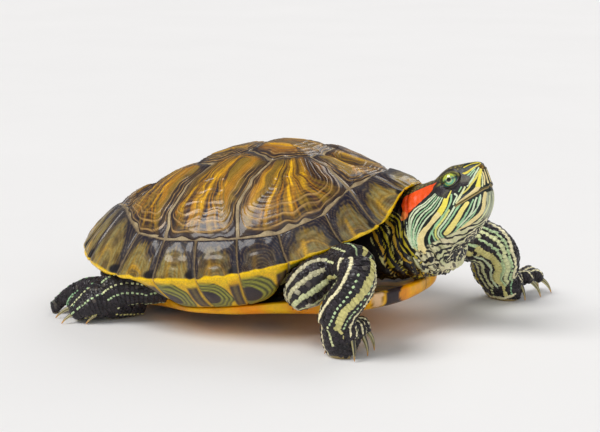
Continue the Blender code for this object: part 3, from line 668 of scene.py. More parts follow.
def marginal_tint(u, place, edge, number):
    """Colour of one marginal, above and below the rim."""
    seed = MARGINAL_SEED + MARGINAL_SEED_STEP * number
    v = np.clip(place, 0, 1)
    ring = (np.abs((u - 0.52) * 2.05) ** 2.6 + np.abs(1.02 * (1 - v)) ** 2.6) ** (1 / 2.6)
    ring = ring + 0.04 * waves(u * 5, place * 5, 2.4, seed)
    fibres = waves(u * 16, place * 2.0, 1.5, seed + 1)
    brown = step(-0.2, 0.8, waves(u * 5 + 5, place * 4, 2.0, seed + 2))
    arch = bump(ring - 0.46 - 0.1 * math.sin(seed), 0.045) + 0.4 * bump(ring - 0.24, 0.03)
    arch = arch * (0.5 + 0.4 * math.sin(seed * 1.7)) * (0.7 + 0.3 * fibres)
    bar = bump(u - 0.62 - 0.10 * (v - 0.5), 0.045) * step(0.3, 0.5, v) * (0.6 + 0.4 * math.sin(seed * 2))
    reach = 0.74 + 0.10 * step(6.0, 9.0, number)
    dusk = 0.9 * bump(number - 4.3, 0.8) + 0.25 * bump(number - 2, 0.5)
    lines = np.sin(ring * 62)
    colour = layers(
        OLIVE, (GREY_OLIVE, 0.5 + 0.4 * fibres), (BROWN, brown * 0.65),
        (hue("#d09a14"), np.clip(arch, 0, 1) * step(0.15, 0.3, v)), (GOLD, bar * 0.8),
        (DARK, 0.92 * step(reach, reach + 0.16, ring + 0.06 * fibres)), (DARK, dusk),
        (hue("#8d7550"), step(0.6, 1.0, lines) * 0.32), (DARK, step(-0.4, -1.0, lines) * 0.3))
    colour = contrasted(colour, mix(BROWN, OLIVE, 0.5), 1.15, 0.006)
    blotch = bump((u - 0.02) / 0.24, 1.0) * bump((v - 0.80) / 0.18, 1.0)
    glow = step(0.89, 0.94, v + 0.03 * waves(u * 6, v, 2.0, seed + 4) + 0.05 * bump(u - 0.6, 0.14))
    colour = layers(colour, (hue("#191518"), step(0.35, 0.6, blotch)), (YELLOW, glow))
    below = np.clip(place - 1, 0, 1)
    distance = np.hypot((u - 0.86) / 0.60, (below - 0.52) / 0.50)
    distance = distance + 0.05 * waves(u * 6, below * 6, 2.6, seed + 5)
    rings = 0.5 + 0.5 * np.cos((distance - 0.50) * 2 * np.pi / 0.17)
    eye = mix(hue("#33361f"), hue("#9c9a34"), rings)
    eye = mix(hue("#261a22"), eye, step(0.42, 0.50, distance))
    bar = step(0.30, 0.24, u) * step(0.02, 0.06, u) * step(0.12, 0.22, below) * step(0.96, 0.86, below)
    under = layers(
        hue("#e3a90c"), (hue("#efc51c"), 0.5 + 0.5 * waves(u * 5, below * 5, 2.5, seed + 6)),
        (eye, step(1.02, 0.94, distance)), (mix(hue("#33262a"), hue("#6b5a33"), bump(u - 0.15, 0.05)), bar))
    return layers(colour, (under, step(1.04, 1.10, place)),
                  (mix(SEAM, hue("#cdbb92"), 0.5), step(0.50, 0.22, edge) * 0.75))


def make_marginals(finish):
    """Twelve pairs of marginals and the nuchal, curled round the rim."""
    heap = Heap()
    rim_start, inner_start = MARGINAL_SEAMS[0][:2]
    rows = [(-rim_start, -inner_start), *MARGINAL_SEAMS]
    places = np.concatenate([np.linspace(0, 1, 36), np.linspace(1, 2, 28)[1:]])
    u = np.linspace(0, 1, 44)[None, :]
    place = places[:, None] + 0 * u
    share = np.clip(place, 0, 1)
    across = 1 - u + 0 * place
    nested = np.maximum(np.abs(across - 0.5) * 2, 1 - share)
    for number, (before, after) in enumerate(zip(rows, rows[1:])):
        rim, inner = [after[i] + (before[i] - after[i]) * u for i in (0, 1)]
        degrees = (1 - share) * inner + share * rim
        section = rim_section(np.radians(degrees), place, seam_reach(-np.abs(inner)) + 0 * place)
        grid = shell_to_world(section)
        normals = grid_normals(grid)
        outward_way = unit(grid - shell_to_world(SHELL_MIDDLE))
        normals *= np.sign((normals * outward_way).sum(-1).mean())
        edge = edge_distance(grid)
        lift = SCUTE_LIFT - 0.8 * step(0.9, 0.0, edge) + 0.3 * step(0.5, 4.0, edge)
        lift = lift + 0.08 * np.sin(nested * 26) * step(0.1, 0.4, share) * step(1.05, 0.9, place)
        lift = lift + 0.12 * waves(across * 4, place * 4, 2.0, 400 + number)
        lift = lift * step(2.0, 1.93, place) - 0.4 * step(1.93, 2.0, place)
        tints = marginal_tint(across, place, edge, number)
        heap.add_pair(grid + normals * lift[..., None], normals, tints, MARGINAL_THICKNESS, number > 0)
    heap.finish("carapace_marginals", finish, "shell")


def make_carapace_body(finish):
    """Bone under the scutes, which shows as the floor of the seams."""
    angles = np.linspace(0.0, 2 * np.pi, 200, endpoint=False)
    rings = [dome(angles, reach, 0.75) for reach in
             (0.02, 0.1, 0.2, 0.3, 0.4, 0.5, 0.6, 0.7, 0.78, 0.85, 0.91, 0.95, 0.98, 0.995)]
    rings.append(under_rim(angles, 0.90, 0.93, UNDER_RIM_HEIGHT, 0.0))
    rings.append(under_rim(angles, BRIDGE_REACH, FREE_REACH, BRIDGE_EDGE_HEIGHT + 0.6, 0.6))
    rings.append(under_rim(angles, BRIDGE_REACH - 0.05, FREE_REACH - 0.045, BRIDGE_EDGE_HEIGHT, 0.9))
    rings.append(under_rim(angles, 0.83, 0.80, RIM_HEIGHT + 3.0, 1.8))
    rings += [dome(angles, reach, 3.6) for reach in (0.82, 0.68, 0.5, 0.25, 0.02)]
    points, faces = closed_loft(shell_to_world(np.array(rings)))
    tint = mix(hue("#7c6748"), hue("#b8a47c"), 0.5 + 0.5 * waves(points[:, 0], points[:, 1], 6, 5))
    body = outward(build("carapace_body", points, faces, finish, {"tint": tint}))
    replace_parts(body, "carapace")


# Blotches of the belly plates: (x, y) place and (x, y) size.
BLOTCHES = ((74.5, 22.5, 4.6, 6.5), (62, 14, 7, 5), (44, 27, 9, 8), (16, 30, 11, 9), (-12, 31, 12, 9),
            (-40, 25, 11, 8), (-64, 15, 7, 6))


def oval(*axes):
    """Distance from the middle of an oval, from (offset, half length) on each axis; 1 on its edge."""
    return np.sqrt(sum((offset / half) ** 2 for offset, half in axes))


def plastron_tint(x, y, z):
    """Orange yellow belly plate with a dark blotch in each plate and thin seams."""
    y = np.abs(y)
    rise = np.maximum(z - 3.0, 0)
    colour = mix(hue("#fb9d00"), hue("#ffc60a"), 0.5 + 0.5 * waves(x, y, 16, 3))
    colour = mix(colour, hue("#c87a0c"), 0.4 * step(0.2, 1.0, waves(x * 0.4, y, 5, 4)))
    for px, py, long, wide in BLOTCHES:
        warp = 0.22 * waves(x, y, 9, int(px) + 90)
        blot = oval((x - 0.8 * rise - px + 2, long), (y - py, wide), (rise, 7)) + warp
        colour = layers(colour, (hue("#2c2024"), step(1.0, 0.86, blot)),
                        (hue("#8a5a14"), step(0.36, 0.30, blot) * 0.6))
    corner = oval((x - 0.5 * rise - 69.6, 2.4), (y - 31.0, 2.8), (rise - 1.5, 3.6))
    colour = mix(colour, hue("#6b4210"), bump(corner - 1.1, 0.14) * 0.8)
    return mix(colour, hue("#f2c795"), step(1.05, 0.9, corner))


def plastron_seam(x, y):
    """Millimetres to the nearest seam of the belly plates."""
    y = np.abs(y)
    distance = y
    for at, slope in ((68, -0.75), (52, -0.25), (30, -0.1), (-2, 0.0), (-29, 0.12), (-50, 0.45)):
        distance = np.minimum(distance, np.abs(x - at - slope * y) / math.hypot(1, slope))
    return distance


def make_plastron(finish):
    """Belly plate with six pairs of plates."""
    angles = np.linspace(0.0, 2 * np.pi, 260, endpoint=False)
    edge_top = BRIDGE_EDGE_HEIGHT - 0.35
    innermost = BELLY_HALF_WIDTHS[0] - 0.3
    keys = np.array([(innermost, 0, 0, 1), (40, 0, 0, 1), (32, 0, 0, 1), (24, 0, 0, 1), (16, 0, 0.3, 1),
                     (8.0, 0.1, 1.2, 1.0), (3.2, 0.8, 2.2, 0.8), (0.8, 2.8, 3.0, 0.4),
                     (0.2, BELLY_EDGE_HEIGHT - 1.8, edge_top - 0.7, 0.1),
                     (0.6, BELLY_EDGE_HEIGHT, edge_top, 0.0), (3.4, BELLY_EDGE_HEIGHT - 0.4, edge_top, 0.0),
                     (8.0, 4.4, 4.4, 0.5), (24.0, 4.4, 4.4, 1.0), (innermost, 4.4, 4.4, 1.0)])
    rings = np.array([belly_ring(angles, *row) for row in smooth_path(keys, 76)])
    level = rings.reshape(-1, 3)
    seam = plastron_seam(level[:, 0], level[:, 1])
    points, faces = closed_loft(shell_to_world(rings))
    tint = plastron_tint(level[:, 0], level[:, 1], level[:, 2])
    fields = {"tint": tint, "seam": seam}
    made = outward(build("plastron_plates", points, faces, finish, fields))
    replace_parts(made, "plastron")


# ---------------------------------------------------------------- flesh, as in the CAD

HEAD_ORIGIN = np.array([93.0, -1.0, 69.6])
HEAD_YAW, HEAD_PITCH = math.radians(-10.0), math.radians(29.6)
HEAD_SECTIONS = ((-14.0, 14.3, 4.8, -28.5), (-9.0, 14.0, 4.4, -27.5), (-4.0, 12.8, 6.0, -25.5),
                 (0.0, 11.0, 6.4, -24.0), (4.0, 9.4, 5.4, -22.4), (8.0, 7.7, 4.5, -19.6),
                 (11.0, 5.9, 3.7, -16.2), (12.8, 4.3, 3.0, -12.2), (14.0, 3.1, 2.4, -8.4),
                 (14.8, 2.1, 1.8, -3.5))      # along, half width, top, bottom
NECK_STATIONS = ((42, 0, 47, 46, 0, 20.5, 15.0), (53, 0, 52, 66, 0, 22.0, 15.5),
                 (62, 0.2, 57.5, 84, 0, 25.4, 15.8), (71, 0.8, 64, 93.5, 0, 29.4, 15.2))
SECTION_POWER, SECTION_LEAN = 2.15, 0.14
EYE_PLACE, EYE_RADIUS = np.array([0.8, -6.0, 0.0]), 4.35
LID_RADIUS, SOCKET_RADIUS = 5.0, 3.3
HEAD_SIDES, LIMB_SIDES = 56, 48
COAT = 0.3                       # the skin lies this deep inside the CAD
VOXEL = 0.75
SOLE_HEIGHT, SCALES_FROM = 1.2, 1.0     # pale soles lie below, and scales above, this height
CLAW_LENGTH, CLAW_RADIUS, CLAW_TIP_HEIGHT = 9.0, 1.35, 0.35
HIP = (-28.0, 30.0)
NO_STROKE, BARE = -4.0, -2.0     # millimetres inside a stroke: where none is near, and where none may be


def head_to_world(points):
    """From the frame between the eyes to the standing one."""
    points = np.asarray(points, float)
    x, y, z = points[..., 0], points[..., 1], points[..., 2]
    ahead = x * math.cos(HEAD_PITCH) - z * math.sin(HEAD_PITCH)
    height = x * math.sin(HEAD_PITCH) + z * math.cos(HEAD_PITCH)
    turned = np.stack([ahead * math.cos(HEAD_YAW) - y * math.sin(HEAD_YAW),
                       ahead * math.sin(HEAD_YAW) + y * math.cos(HEAD_YAW), height], -1)
    return turned + HEAD_ORIGIN


def world_to_head(points):
    """From the standing frame to the one between the eyes."""
    x, y, z = np.moveaxis(np.asarray(points, float) - HEAD_ORIGIN, -1, 0)
    ahead = x * math.cos(HEAD_YAW) + y * math.sin(HEAD_YAW)
    across = -x * math.sin(HEAD_YAW) + y * math.cos(HEAD_YAW)
    return np.stack([ahead * math.cos(HEAD_PITCH) + z * math.sin(HEAD_PITCH), across,
                     -ahead * math.sin(HEAD_PITCH) + z * math.cos(HEAD_PITCH)], -1)


def section_ring(centre, side, up, half_width, half_height, sides, power, lean=0.0):
    """Rounded section; a lean above 0 makes its upper part narrower."""
    angles = np.linspace(0.0, 2 * np.pi, sides, endpoint=False)
    across, along = super_circle(angles, power)
    across = across * (1 - lean * along)
    return (np.asarray(centre) + np.outer(across * (half_width - COAT), side)
            + np.outer(along * (half_height - COAT), up))


def sweep_rings(stations, broad, steps, power):
    """Rings along (x, y, z, half_width, half_height) stations, the rows between and their ways."""
    rows = smooth_path(stations, steps)
    tangents = unit(np.gradient(rows[:, :3], axis=0))
    rings = []
    for row, tangent in zip(rows, tangents):
        side = unit(np.array(broad) - np.dot(broad, tangent) * tangent)
        up = np.cross(tangent, side)
        rings.append(section_ring(row[:3], side, up, row[3], row[4], LIMB_SIDES, power))
    return np.array(rings), rows, tangents


FOAM, LIME, MOSS = hue("#d9e8c2"), hue("#e4e584"), hue("#c2b02a")
CREAM, PALE, MINT = hue("#fbf2c4"), hue("#e1e5ae"), hue("#a3d09f")
STRAW, SULPHUR, OCHRE = hue("#ddd489"), hue("#e3cf3a"), hue("#cf9c2a")
INK, SLATE = hue("#151115"), hue("#2d252c")
SAGE = mix(MINT, PALE, 0.45)

# Strokes on a limb: places (share of its length, degrees round it), half width, colour, dotted.
RIGHT_FORE = (
    (((0.12, 164), (0.03, 148), (-0.03, 126), (0.03, 107), (0.14, 109), (0.29, 129), (0.42, 143),
      (0.58, 149), (0.72, 158), (0.86, 167), (1.05, 166)), 0.8, CREAM, False),
    (((-0.05, 36), (0.15, 33), (0.27, 43), (0.36, 62), (0.48, 80), (0.62, 89), (0.88, 91)),
     1.65, STRAW, False),
    (((-0.05, 8), (0.2, 12), (0.38, 26), (0.5, 35), (0.7, 45), (1.0, 52)), 0.6, CREAM, False),
    (((0.25, 86), (0.42, 104), (0.6, 112), (0.95, 118)), 0.5, SAGE, True),
    (((0.3, 34), (0.45, 52), (0.62, 64), (0.9, 70)), 0.5, SAGE, True),
    (((-0.05, -12), (0.5, 8), (1.0, 25)), 0.5, CREAM, False),
    (((0.0, 200), (0.5, 190), (1.0, 195)), 0.6, PALE, True),
    (((0.0, -60), (1.0, -40)), 0.9, STRAW, False), (((0.0, -100), (1.0, -85)), 0.6, PALE, True),
    (((0.0, -140), (1.0, -130)), 0.8, STRAW, False))
LEFT_FORE = (
    (((-0.05, 296), (0.14, 306), (0.22, 317), (0.30, 337), (0.37, 356), (0.47, 362), (0.6, 356),
      (1.0, 350)), 0.95, CREAM, False),
    (((-0.05, 318), (0.08, 330), (0.18, 338), (0.26, 352), (0.39, 372), (0.53, 372), (1.0, 364)),
     0.6, SAGE, False),
    (((-0.05, 340), (0.14, 352), (0.22, 363), (0.32, 377), (0.45, 387), (1.0, 378)), 0.95, PALE, False),
    (((-0.05, 362), (0.13, 372), (0.2, 380), (0.35, 393), (0.6, 396), (1.0, 390)), 0.55, SAGE, False),
    (((-0.05, 388), (0.05, 394), (0.2, 405), (0.38, 411), (0.53, 409), (0.9, 401)), 1.7, STRAW, False),
    (((0.02, 414), (0.2, 424), (0.4, 428), (0.9, 414)), 0.6, FOAM, False),
    (((0.05, 433), (0.34, 444), (0.53, 444), (0.9, 428)), 0.8, PALE, False),
    (((0.1, 453), (0.5, 461), (0.95, 444)), 0.8, PALE, False),
    (((0.2, 474), (0.6, 480), (1.0, 462)), 0.95, MOSS, False),
    (((0.1, 496), (1.0, 490)), 0.8, PALE, False), (((0.0, 520), (1.0, 520)), 0.8, STRAW, False),
    (((0.0, 548), (1.0, 550)), 0.6, PALE, True), (((0.0, 580), (1.0, 580)), 0.6, PALE, True),
    (((0.0, 615), (1.0, 615)), 0.8, CREAM, False), (((-0.05, 276), (0.2, 282), (1.0, 300)), 0.6, PALE, True))
UPPER_ARM = tuple((((0.0, angle), (1.0, angle + 6)), width, colour, dotted)
                  for angle, width, colour, dotted in (
                      (350, 1.5, STRAW, False), (326, 0.6, SAGE, False), (300, 0.9, PALE, False),
                      (274, 0.6, SAGE, False), (248, 0.9, CREAM, False), (215, 0.6, PALE, True),
                      (180, 0.5, SAGE, True), (140, 0.9, STRAW, False), (100, 0.6, PALE, True),
                      (60, 0.6, PALE, True), (25, 0.6, SAGE, False)))
HIND = tuple((((0.0, angle), (0.5, angle + 8), (1.0, angle)), 0.5, colour, True)
             for angle, colour in ((20, SAGE), (60, PALE), (100, SAGE), (150, PALE), (200, SAGE),
                                   (225, PALE), (250, SAGE), (285, PALE), (320, STRAW)))
FOLD = ((((0.05, 30), (0.3, 62), (0.6, 92), (0.95, 110)), 1.1, PALE, False),
        (((0.05, 72), (0.3, 104), (0.55, 126), (0.9, 140)), 0.9, hue("#c9c39c"), False),
        (((0.2, 2), (0.5, 34), (0.95, 70)), 0.8, PALE, False),
        (((0.05, 116), (0.35, 150), (0.95, 165)), 1.0, hue("#cfc8a4"), False))
DIGIT = ((((0.1, 240), (1.05, 238)), 0.45, CREAM, False), (((0.1, 302), (1.05, 302)), 0.45, CREAM, False),
         (((0.2, 180), (1.05, 182)), 0.4, PALE, True))
HIND_DIGIT = ((((0.1, 270), (1.05, 270)), 0.42, MINT, True), (((0.86, 268), (1.1, 270)), 1.2, MINT, False))


class Limb:
    """One swept stretch of flesh: its rings, and the marks and scales that it carries."""

    def __init__(self, name, stations, broad, strokes, scale, power=2.0, kind="limb"):
        self.name, self.strokes, self.scale, self.kind = name, strokes, scale, kind
        steps = max(10, int(1.2 * self.path_length(stations)))
        self.rings, self.rows, self.tangents = sweep_rings(stations, broad, steps, power)
        self.length = self.path_length(self.rows)
        self.girth = self.rows[:, 3:5].mean()

    @staticmethod
    def path_length(stations):
        """Length along the middle."""
        points = np.asarray(stations, float)[:, :3]
        return np.linalg.norm(np.diff(points, axis=0), axis=1).sum()

    def marks(self, share, degrees, dotted=False):
        """Colour of the nearest stroke and millimetres inside its edge, at places on the limb."""
        best = np.full(share.shape, NO_STROKE)
        colour = np.tile(CREAM, (*share.shape, 1))
        for places, half_width, tint, dots in self.strokes:
            if dots != dotted:
                continue
            line = smooth_path(np.array(places, float), max(2, 5 * (len(places) - 1)))
            reach = np.full(share.shape, 99.0)
            for (s0, d0), (s1, d1) in zip(line, line[1:]):
                u, v = (s1 - s0) * self.length, math.radians(d1 - d0) * self.girth
                x = (share - s0) * self.length
                y = np.radians((degrees - d0 + 180) % 360 - 180) * self.girth
                t = np.clip((x * u + y * v) / max(u * u + v * v, 1e-9), 0, 1)
                reach = np.minimum(reach, np.hypot(x - t * u, y - t * v))
            better = half_width - reach > best
            best = np.where(better, half_width - reach, best)
            colour[better] = tint
        return colour, best


def hind_place(row, hand, swing):
    """Mirror a right-hand place to the leg's own side and swing it about the hip."""
    x, y = HIP[0], HIP[1] * hand
    dx, dy, turn = row[0] - x, row[1] * -hand - y, swing * hand
    return (x + dx * math.cos(turn) - dy * math.sin(turn),
            y + dx * math.sin(turn) + dy * math.cos(turn), *row[2:])


def hind_way(vector, hand, swing):
    """The same for a way to point."""
    x, y, z = vector
    y, turn = y * -hand, swing * hand
    return (x * math.cos(turn) - y * math.sin(turn), x * math.sin(turn) + y * math.cos(turn), z)


def claw_line(tip, heading, steepness):
    """Middle line of a claw as (x, y, z, radius) rows, and the way that it leaves the toe."""
    forward = np.array([math.cos(heading), math.sin(heading), 0.0])
    down = np.array([0.0, 0.0, -1.0])
    base_way = math.cos(steepness * 0.8) * forward + math.sin(steepness * 0.8) * down
    chord = math.cos(steepness) * forward + math.sin(steepness) * down
    base = np.array(tip) - chord * CLAW_LENGTH
    bow = unit(np.cross(np.cross(chord, base_way), chord)) * 0.09 * CLAW_LENGTH
    rows = []
    for share, radius in ((0.0, 1.0), (0.35, 0.82), (0.7, 0.5), (1.0, 0.14)):
        rows.append((*(base + chord * CLAW_LENGTH * share + bow * 4 * share * (1 - share)),
                     radius * CLAW_RADIUS))
    return np.array(rows), base, unit(np.array(rows[1][:3]) - base), np.cross(forward, down)


def make_foot(name, palm, digits, radius, claws, strokes, toe_strokes, scale):
    """Palm and toes as limbs; the claws' lines are added to the list."""
    limbs = [Limb(name + "_palm", palm["stations"], palm["broad"], strokes, scale, 2.3, "palm")]
    joints = []
    for number, (tip, heading, steepness, has_claw) in enumerate(digits, start=1):
        end = (*tip, CLAW_TIP_HEIGHT)
        if has_claw:
            rows, base, way, side = claw_line(end, heading, steepness)
            claws.append((name.replace("_foot", "") + "_claw_" + str(number), rows, side))
        else:
            way = np.array([math.cos(heading), math.sin(heading), -0.5])
            base = np.array(end) + (0.0, 0.0, radius * 0.7)
        way, root = unit(way), np.array(palm["root"])
        arch = np.array([0.0, 0.0, palm["arch"]])
        knuckle = base - way * palm["knuckle"] + arch
        middle = (root + knuckle) / 2 + arch
        stations = [(*place, radius * size, radius * size) for place, size in
                    ((root, 1.6), (middle, 1.35), (knuckle, 1.15), (base - way * 1.2, 1.02),
                     (base - way * 0.1, 0.84), (base + way * 0.5, 0.42))]
        side = (math.sin(heading), -math.cos(heading), 0.0)
        limbs.append(Limb(f"{name}_toe_{number}", stations, side, toe_strokes, (0.7, 1.25), 2.0, "toe"))
        joints.append((knuckle, base - way * 2.0))
    pairs = zip(joints, joints[1:]) if palm.get("webbed") else ()
    for number, ((knuckle, end), (next_knuckle, next_end)) in enumerate(pairs, start=1):
        span = next_knuckle - knuckle
        half = np.linalg.norm(span) / 2
        stations = [(*palm["root"], radius * 1.6, radius * 1.4),
                    (*(knuckle + next_knuckle) / 2, half, radius * 0.8),
                    (*(end + next_end) / 2, half, radius * 0.35)]
        limbs.append(Limb(f"{name}_web_{number}", stations, span, toe_strokes[:1], (0.9, 1.2), 2.0, "toe"))
    return limbs


def fore_digits(turns):
    """Toes of a front foot from (tip, heading, steepness) in degrees, each with a claw."""
    return [(tip, math.radians(heading), math.radians(steepness), True) for tip, heading, steepness in turns]


def make_limbs():
    """Every limb and the tail, and the lines of the claws."""
    claws = []
    limbs = [
        Limb("right_upper", [(40, -25, 31, 11, 10), (51, -36, 32.5, 11, 10), (61, -45.5, 36.5, 10, 9.5),
                             (69, -53, 38.5, 9, 8.8)], (0.7, -0.2, 0.7), UPPER_ARM, (0.95, 1.3)),
        Limb("right_fold", [(54, -46, 37, 6, 6), (48, -51, 31, 9, 8), (43, -53, 24, 8.5, 8),
                            (40, -53.5, 18.5, 3.5, 4)], (0.9, 0.45, 0.0), FOLD, (1.35, 1.45), 2.0, "fold"),
        Limb("right_lower", [(67.5, -51.5, 39.5, 8.6, 8.4), (70.3, -56.5, 32, 8.2, 9),
                             (65, -58.5, 23, 8.2, 9), (60.8, -58, 14, 7.8, 8.6)],
             (0.9, 0.45, 0.0), RIGHT_FORE, (1.05, 1.3)),
        Limb("left_upper", [(40, 25, 31, 11, 10), (54, 35, 31.5, 11.5, 10), (70, 43, 33.5, 11.5, 10.5),
                            (84, 50, 32.4, 12.5, 10.5)], (0.7, -0.4, -0.5), UPPER_ARM, (0.95, 1.3)),
        Limb("left_lower", [(81, 48, 31.5, 12, 10.5), (87, 53, 29, 13.6, 10.4), (89.6, 57.5, 23, 14.4, 9.8),
                            (88.6, 60.8, 16, 12.6, 9), (88.6, 65, 10, 10.8, 8.6)],
             (0.8, -0.5, 0.2), LEFT_FORE, (0.85, 1.35)),
        Limb("tail", [(-58, 0, 15, 8, 7.5), (-70, 3, 12, 6, 5.8), (-79, 9, 8, 4.2, 4), (-84, 18, 5, 3, 2.9),
                      (-84, 27, 2.6, 1.8, 1.8), (-81, 34, 1.5, 0.5, 0.5)],
             (0, 1, 0.2), HIND[::3], (0.9, 1.0))]
    palm = {"stations": [(62, -57.5, 16, 6.5, 7), (62, -57, 11, 7.6, 8), (63.5, -55.5, 6, 8.2, 8),
                         (67, -53, 3, 7.6, 7)],
            "broad": (0.9, 0.45, 0.0), "root": (62, -54.5, 8), "knuckle": 4.0, "arch": 0.8}
    turns = (((56.2, -57.6), -118, 52), ((72.2, -62.2), -48, 74), ((73.8, -52.3), -10, 72),
             ((72.9, -43.5), 28, 70), ((67.0, -38.5), 60, 66))
    digits = fore_digits(turns)
    wrist = ((((-0.1, 166), (0.3, 160), (0.7, 150)), 0.6, CREAM, False),
             (((0.0, 91), (0.3, 75), (0.6, 60)), 0.7, STRAW, False),
             (((0.0, 50), (0.5, 30)), 0.5, PALE, True), (((0.0, 120), (0.5, 110)), 0.5, PALE, False))
    limbs += make_foot("foreleg_right_foot", palm, digits, 2.7, claws, wrist, DIGIT, (0.95, 1.15))
    palm = {"stations": [(90, 64, 12, 9.5, 7), (91, 66, 8, 10.8, 8.6), (93, 68.5, 4, 10.6, 8),
                         (96, 71, 2, 8.5, 6.5)],
            "broad": (0.8, -0.5, 0.2), "root": (93, 69, 6), "knuckle": 4.0, "arch": 0.3}
    turns = (((98.3, 63.0), -38, 50), ((103.1, 65.5), -12, 66), ((107.7, 74.9), 18, 58),
             ((109.7, 85.1), 40, 52), ((101.0, 92.0), 74, 52))
    digits = fore_digits(turns)
    wrist = ((((0.0, 40), (0.5, 50)), 0.8, STRAW, False), (((0.0, 350), (0.6, 20)), 0.7, CREAM, False),
             (((0.0, 10), (0.6, 35)), 0.5, MINT, True), (((0.0, 80), (0.6, 90)), 0.6, PALE, True))
    limbs += make_foot("foreleg_left_foot", palm, digits, 2.7, claws, wrist, DIGIT, (0.95, 1.15))
    for name, hand, swing in (("hindleg_right", -1, 0.0), ("hindleg_left", 1, math.radians(6))):
        def place(row, hand=hand, swing=swing):
            return hind_place(row, hand, swing)
        broad = hind_way((-0.5, 0.6, 0.6), hand, swing)
        thigh = [place(row) for row in ((-22, -28, 21, 12, 10), (-32, -36, 19, 12, 9.5),
                                        (-43, -44, 18, 11.5, 9.5))]
        shank = [place(row) for row in ((-41, -42, 18, 11.0, 9.2), (-50, -48, 18, 12, 9.8),
                                        (-57, -50.5, 16, 12, 9))]
        limbs.append(Limb(name + "_upper", thigh, broad, HIND, (1.0, 1.15)))
        limbs.append(Limb(name + "_lower", shank, broad, HIND, (1.0, 1.15)))
        sole = [place(row) for row in ((-46, -36.5, 4.6, 5.5, 4.8), (-53, -42.5, 8, 10, 8.8),
                                       (-61, -50, 9.6, 12.6, 9.0), (-67.5, -55, 6.6, 11.6, 6.2),
                                       (-72, -58.3, 3.4, 8.4, 3.4))]
        palm = {"stations": sole, "broad": hind_way((0.6, -0.75, 0.0), hand, swing),
                "root": place((-59, -49, 15)), "knuckle": 7.0, "arch": 2.6, "webbed": True}
        digits = []
        for tip, turn, steepness, has_claw in (
                ((-56.9, -50.3), 4, 30, True), ((-60.8, -63.2), 2, 30, True),
                ((-71.1, -67.6), -4, 30, True), ((-79.1, -60.6), -14, 30, True),
                ((-86.0, -52.5), -34, 30, False)):
            heading = math.radians(-125 + turn)
            way = hind_way((math.cos(heading), math.sin(heading), 0.0), hand, swing)
            digits.append((place((*tip, 0.0))[:2], math.atan2(way[1], way[0]), math.radians(steepness),
                           has_claw))
        limbs += make_foot(name + "_foot", palm, digits, 2.9, claws, HIND, HIND_DIGIT, (0.95, 1.1))
    return limbs, claws


def head_rings():
    """Rings of the head, nose last."""
    side, up = np.array([0, 1.0, 0]), np.array([0, 0, 1.0])
    rings = []
    for x, half, top, bottom in smooth_path(HEAD_SECTIONS, 46):
        rings.append(head_to_world(section_ring(
            (x, 0.0, (top + bottom) / 2), side, up, half, (top - bottom) / 2,
            HEAD_SIDES, SECTION_POWER, SECTION_LEAN)))
    return np.array(rings)


def neck_rings():
    """Rings of the neck from inside the shell into the head."""
    stations = list(NECK_STATIONS)
    for x, half, top, bottom in HEAD_SECTIONS[:2]:
        stations.append((*head_to_world((x, 0, top)), *head_to_world((x, 0, bottom)), half))
    rings = []
    for row in smooth_path(stations, 50):
        high, low = row[:3], row[3:6]
        up = unit(high - low)
        side = unit(np.cross(up, np.array([math.cos(HEAD_YAW), math.sin(HEAD_YAW), 0.0])))
        rings.append(section_ring((high + low) / 2, side, up, row[6], np.linalg.norm(high - low) / 2,
                                  HEAD_SIDES, SECTION_POWER, SECTION_LEAN))
    return np.array(rings)


def apply_modifiers(piece):
    """Give a piece the mesh that its modifiers make, and drop them."""
    graph = bpy.context.evaluated_depsgraph_get()
    result = bpy.data.meshes.new_from_object(piece.evaluated_get(graph))
    piece.modifiers.clear()
    old, piece.data = piece.data, result
    bpy.data.meshes.remove(old)


def coordinates(mesh):
    """Places and normals of a mesh's points."""
    points, normals = np.empty(len(mesh.vertices) * 3), np.empty(len(mesh.vertices) * 3)
    mesh.vertices.foreach_get("co", points)
    mesh.vertex_normals.foreach_get("vector", normals)
    return points.reshape(-1, 3), normals.reshape(-1, 3)


def relax(mesh, times, share=0.5, where=None):
    """Smooth a mesh by moving its points toward their neighbours."""
    points, _ = coordinates(mesh)
    ends = np.empty(len(mesh.edges) * 2, int)
    mesh.edges.foreach_get("vertices", ends)
    a, b = ends.reshape(-1, 2).T
    count = len(points)
    degree = np.bincount(np.concatenate([a, b]), minlength=count)[:, None]
    pull = share if where is None else (share * where(points))[:, None]
    for _ in range(times):
        total = np.stack([np.bincount(a, points[b, i], count) + np.bincount(b, points[a, i], count)
                          for i in range(3)], -1)
        points = points + (total / degree - points) * pull
    mesh.vertices.foreach_set("co", points.ravel())
    mesh.update()


def subdivide(mesh, chosen):
    """Split the faces round the chosen points in four."""
    mesh_data = bmesh.new()
    mesh_data.from_mesh(mesh)
    picked = chosen(np.array([vert.co for vert in mesh_data.verts]))
    mesh_data.verts.index_update()
    edges = [edge for edge in mesh_data.edges
             if picked[edge.verts[0].index] and picked[edge.verts[1].index]]
    bmesh.ops.subdivide_edges(mesh_data, edges=edges, cuts=1, use_grid_fill=True)
    mesh_data.to_mesh(mesh)
    mesh_data.free()


def head_section(x):
    """Half width, top and bottom of the head at places along it."""
    along, *columns = zip(*HEAD_SECTIONS)
    return [np.interp(x, along, column) for column in columns]


def flank(x, z):
    """Half width of the head or neck at a place (x, z) in the head's frame."""
    half, top, bottom = head_section(x)
    half = half + 0.14 * np.clip(-14 - x, 0, 12)
    t = np.clip((z - (top + bottom) / 2) / ((top - bottom) / 2), -0.97, 0.97)
    return half * (1 - np.abs(t) ** SECTION_POWER) ** (1 / SECTION_POWER) * (1 - SECTION_LEAN * t)


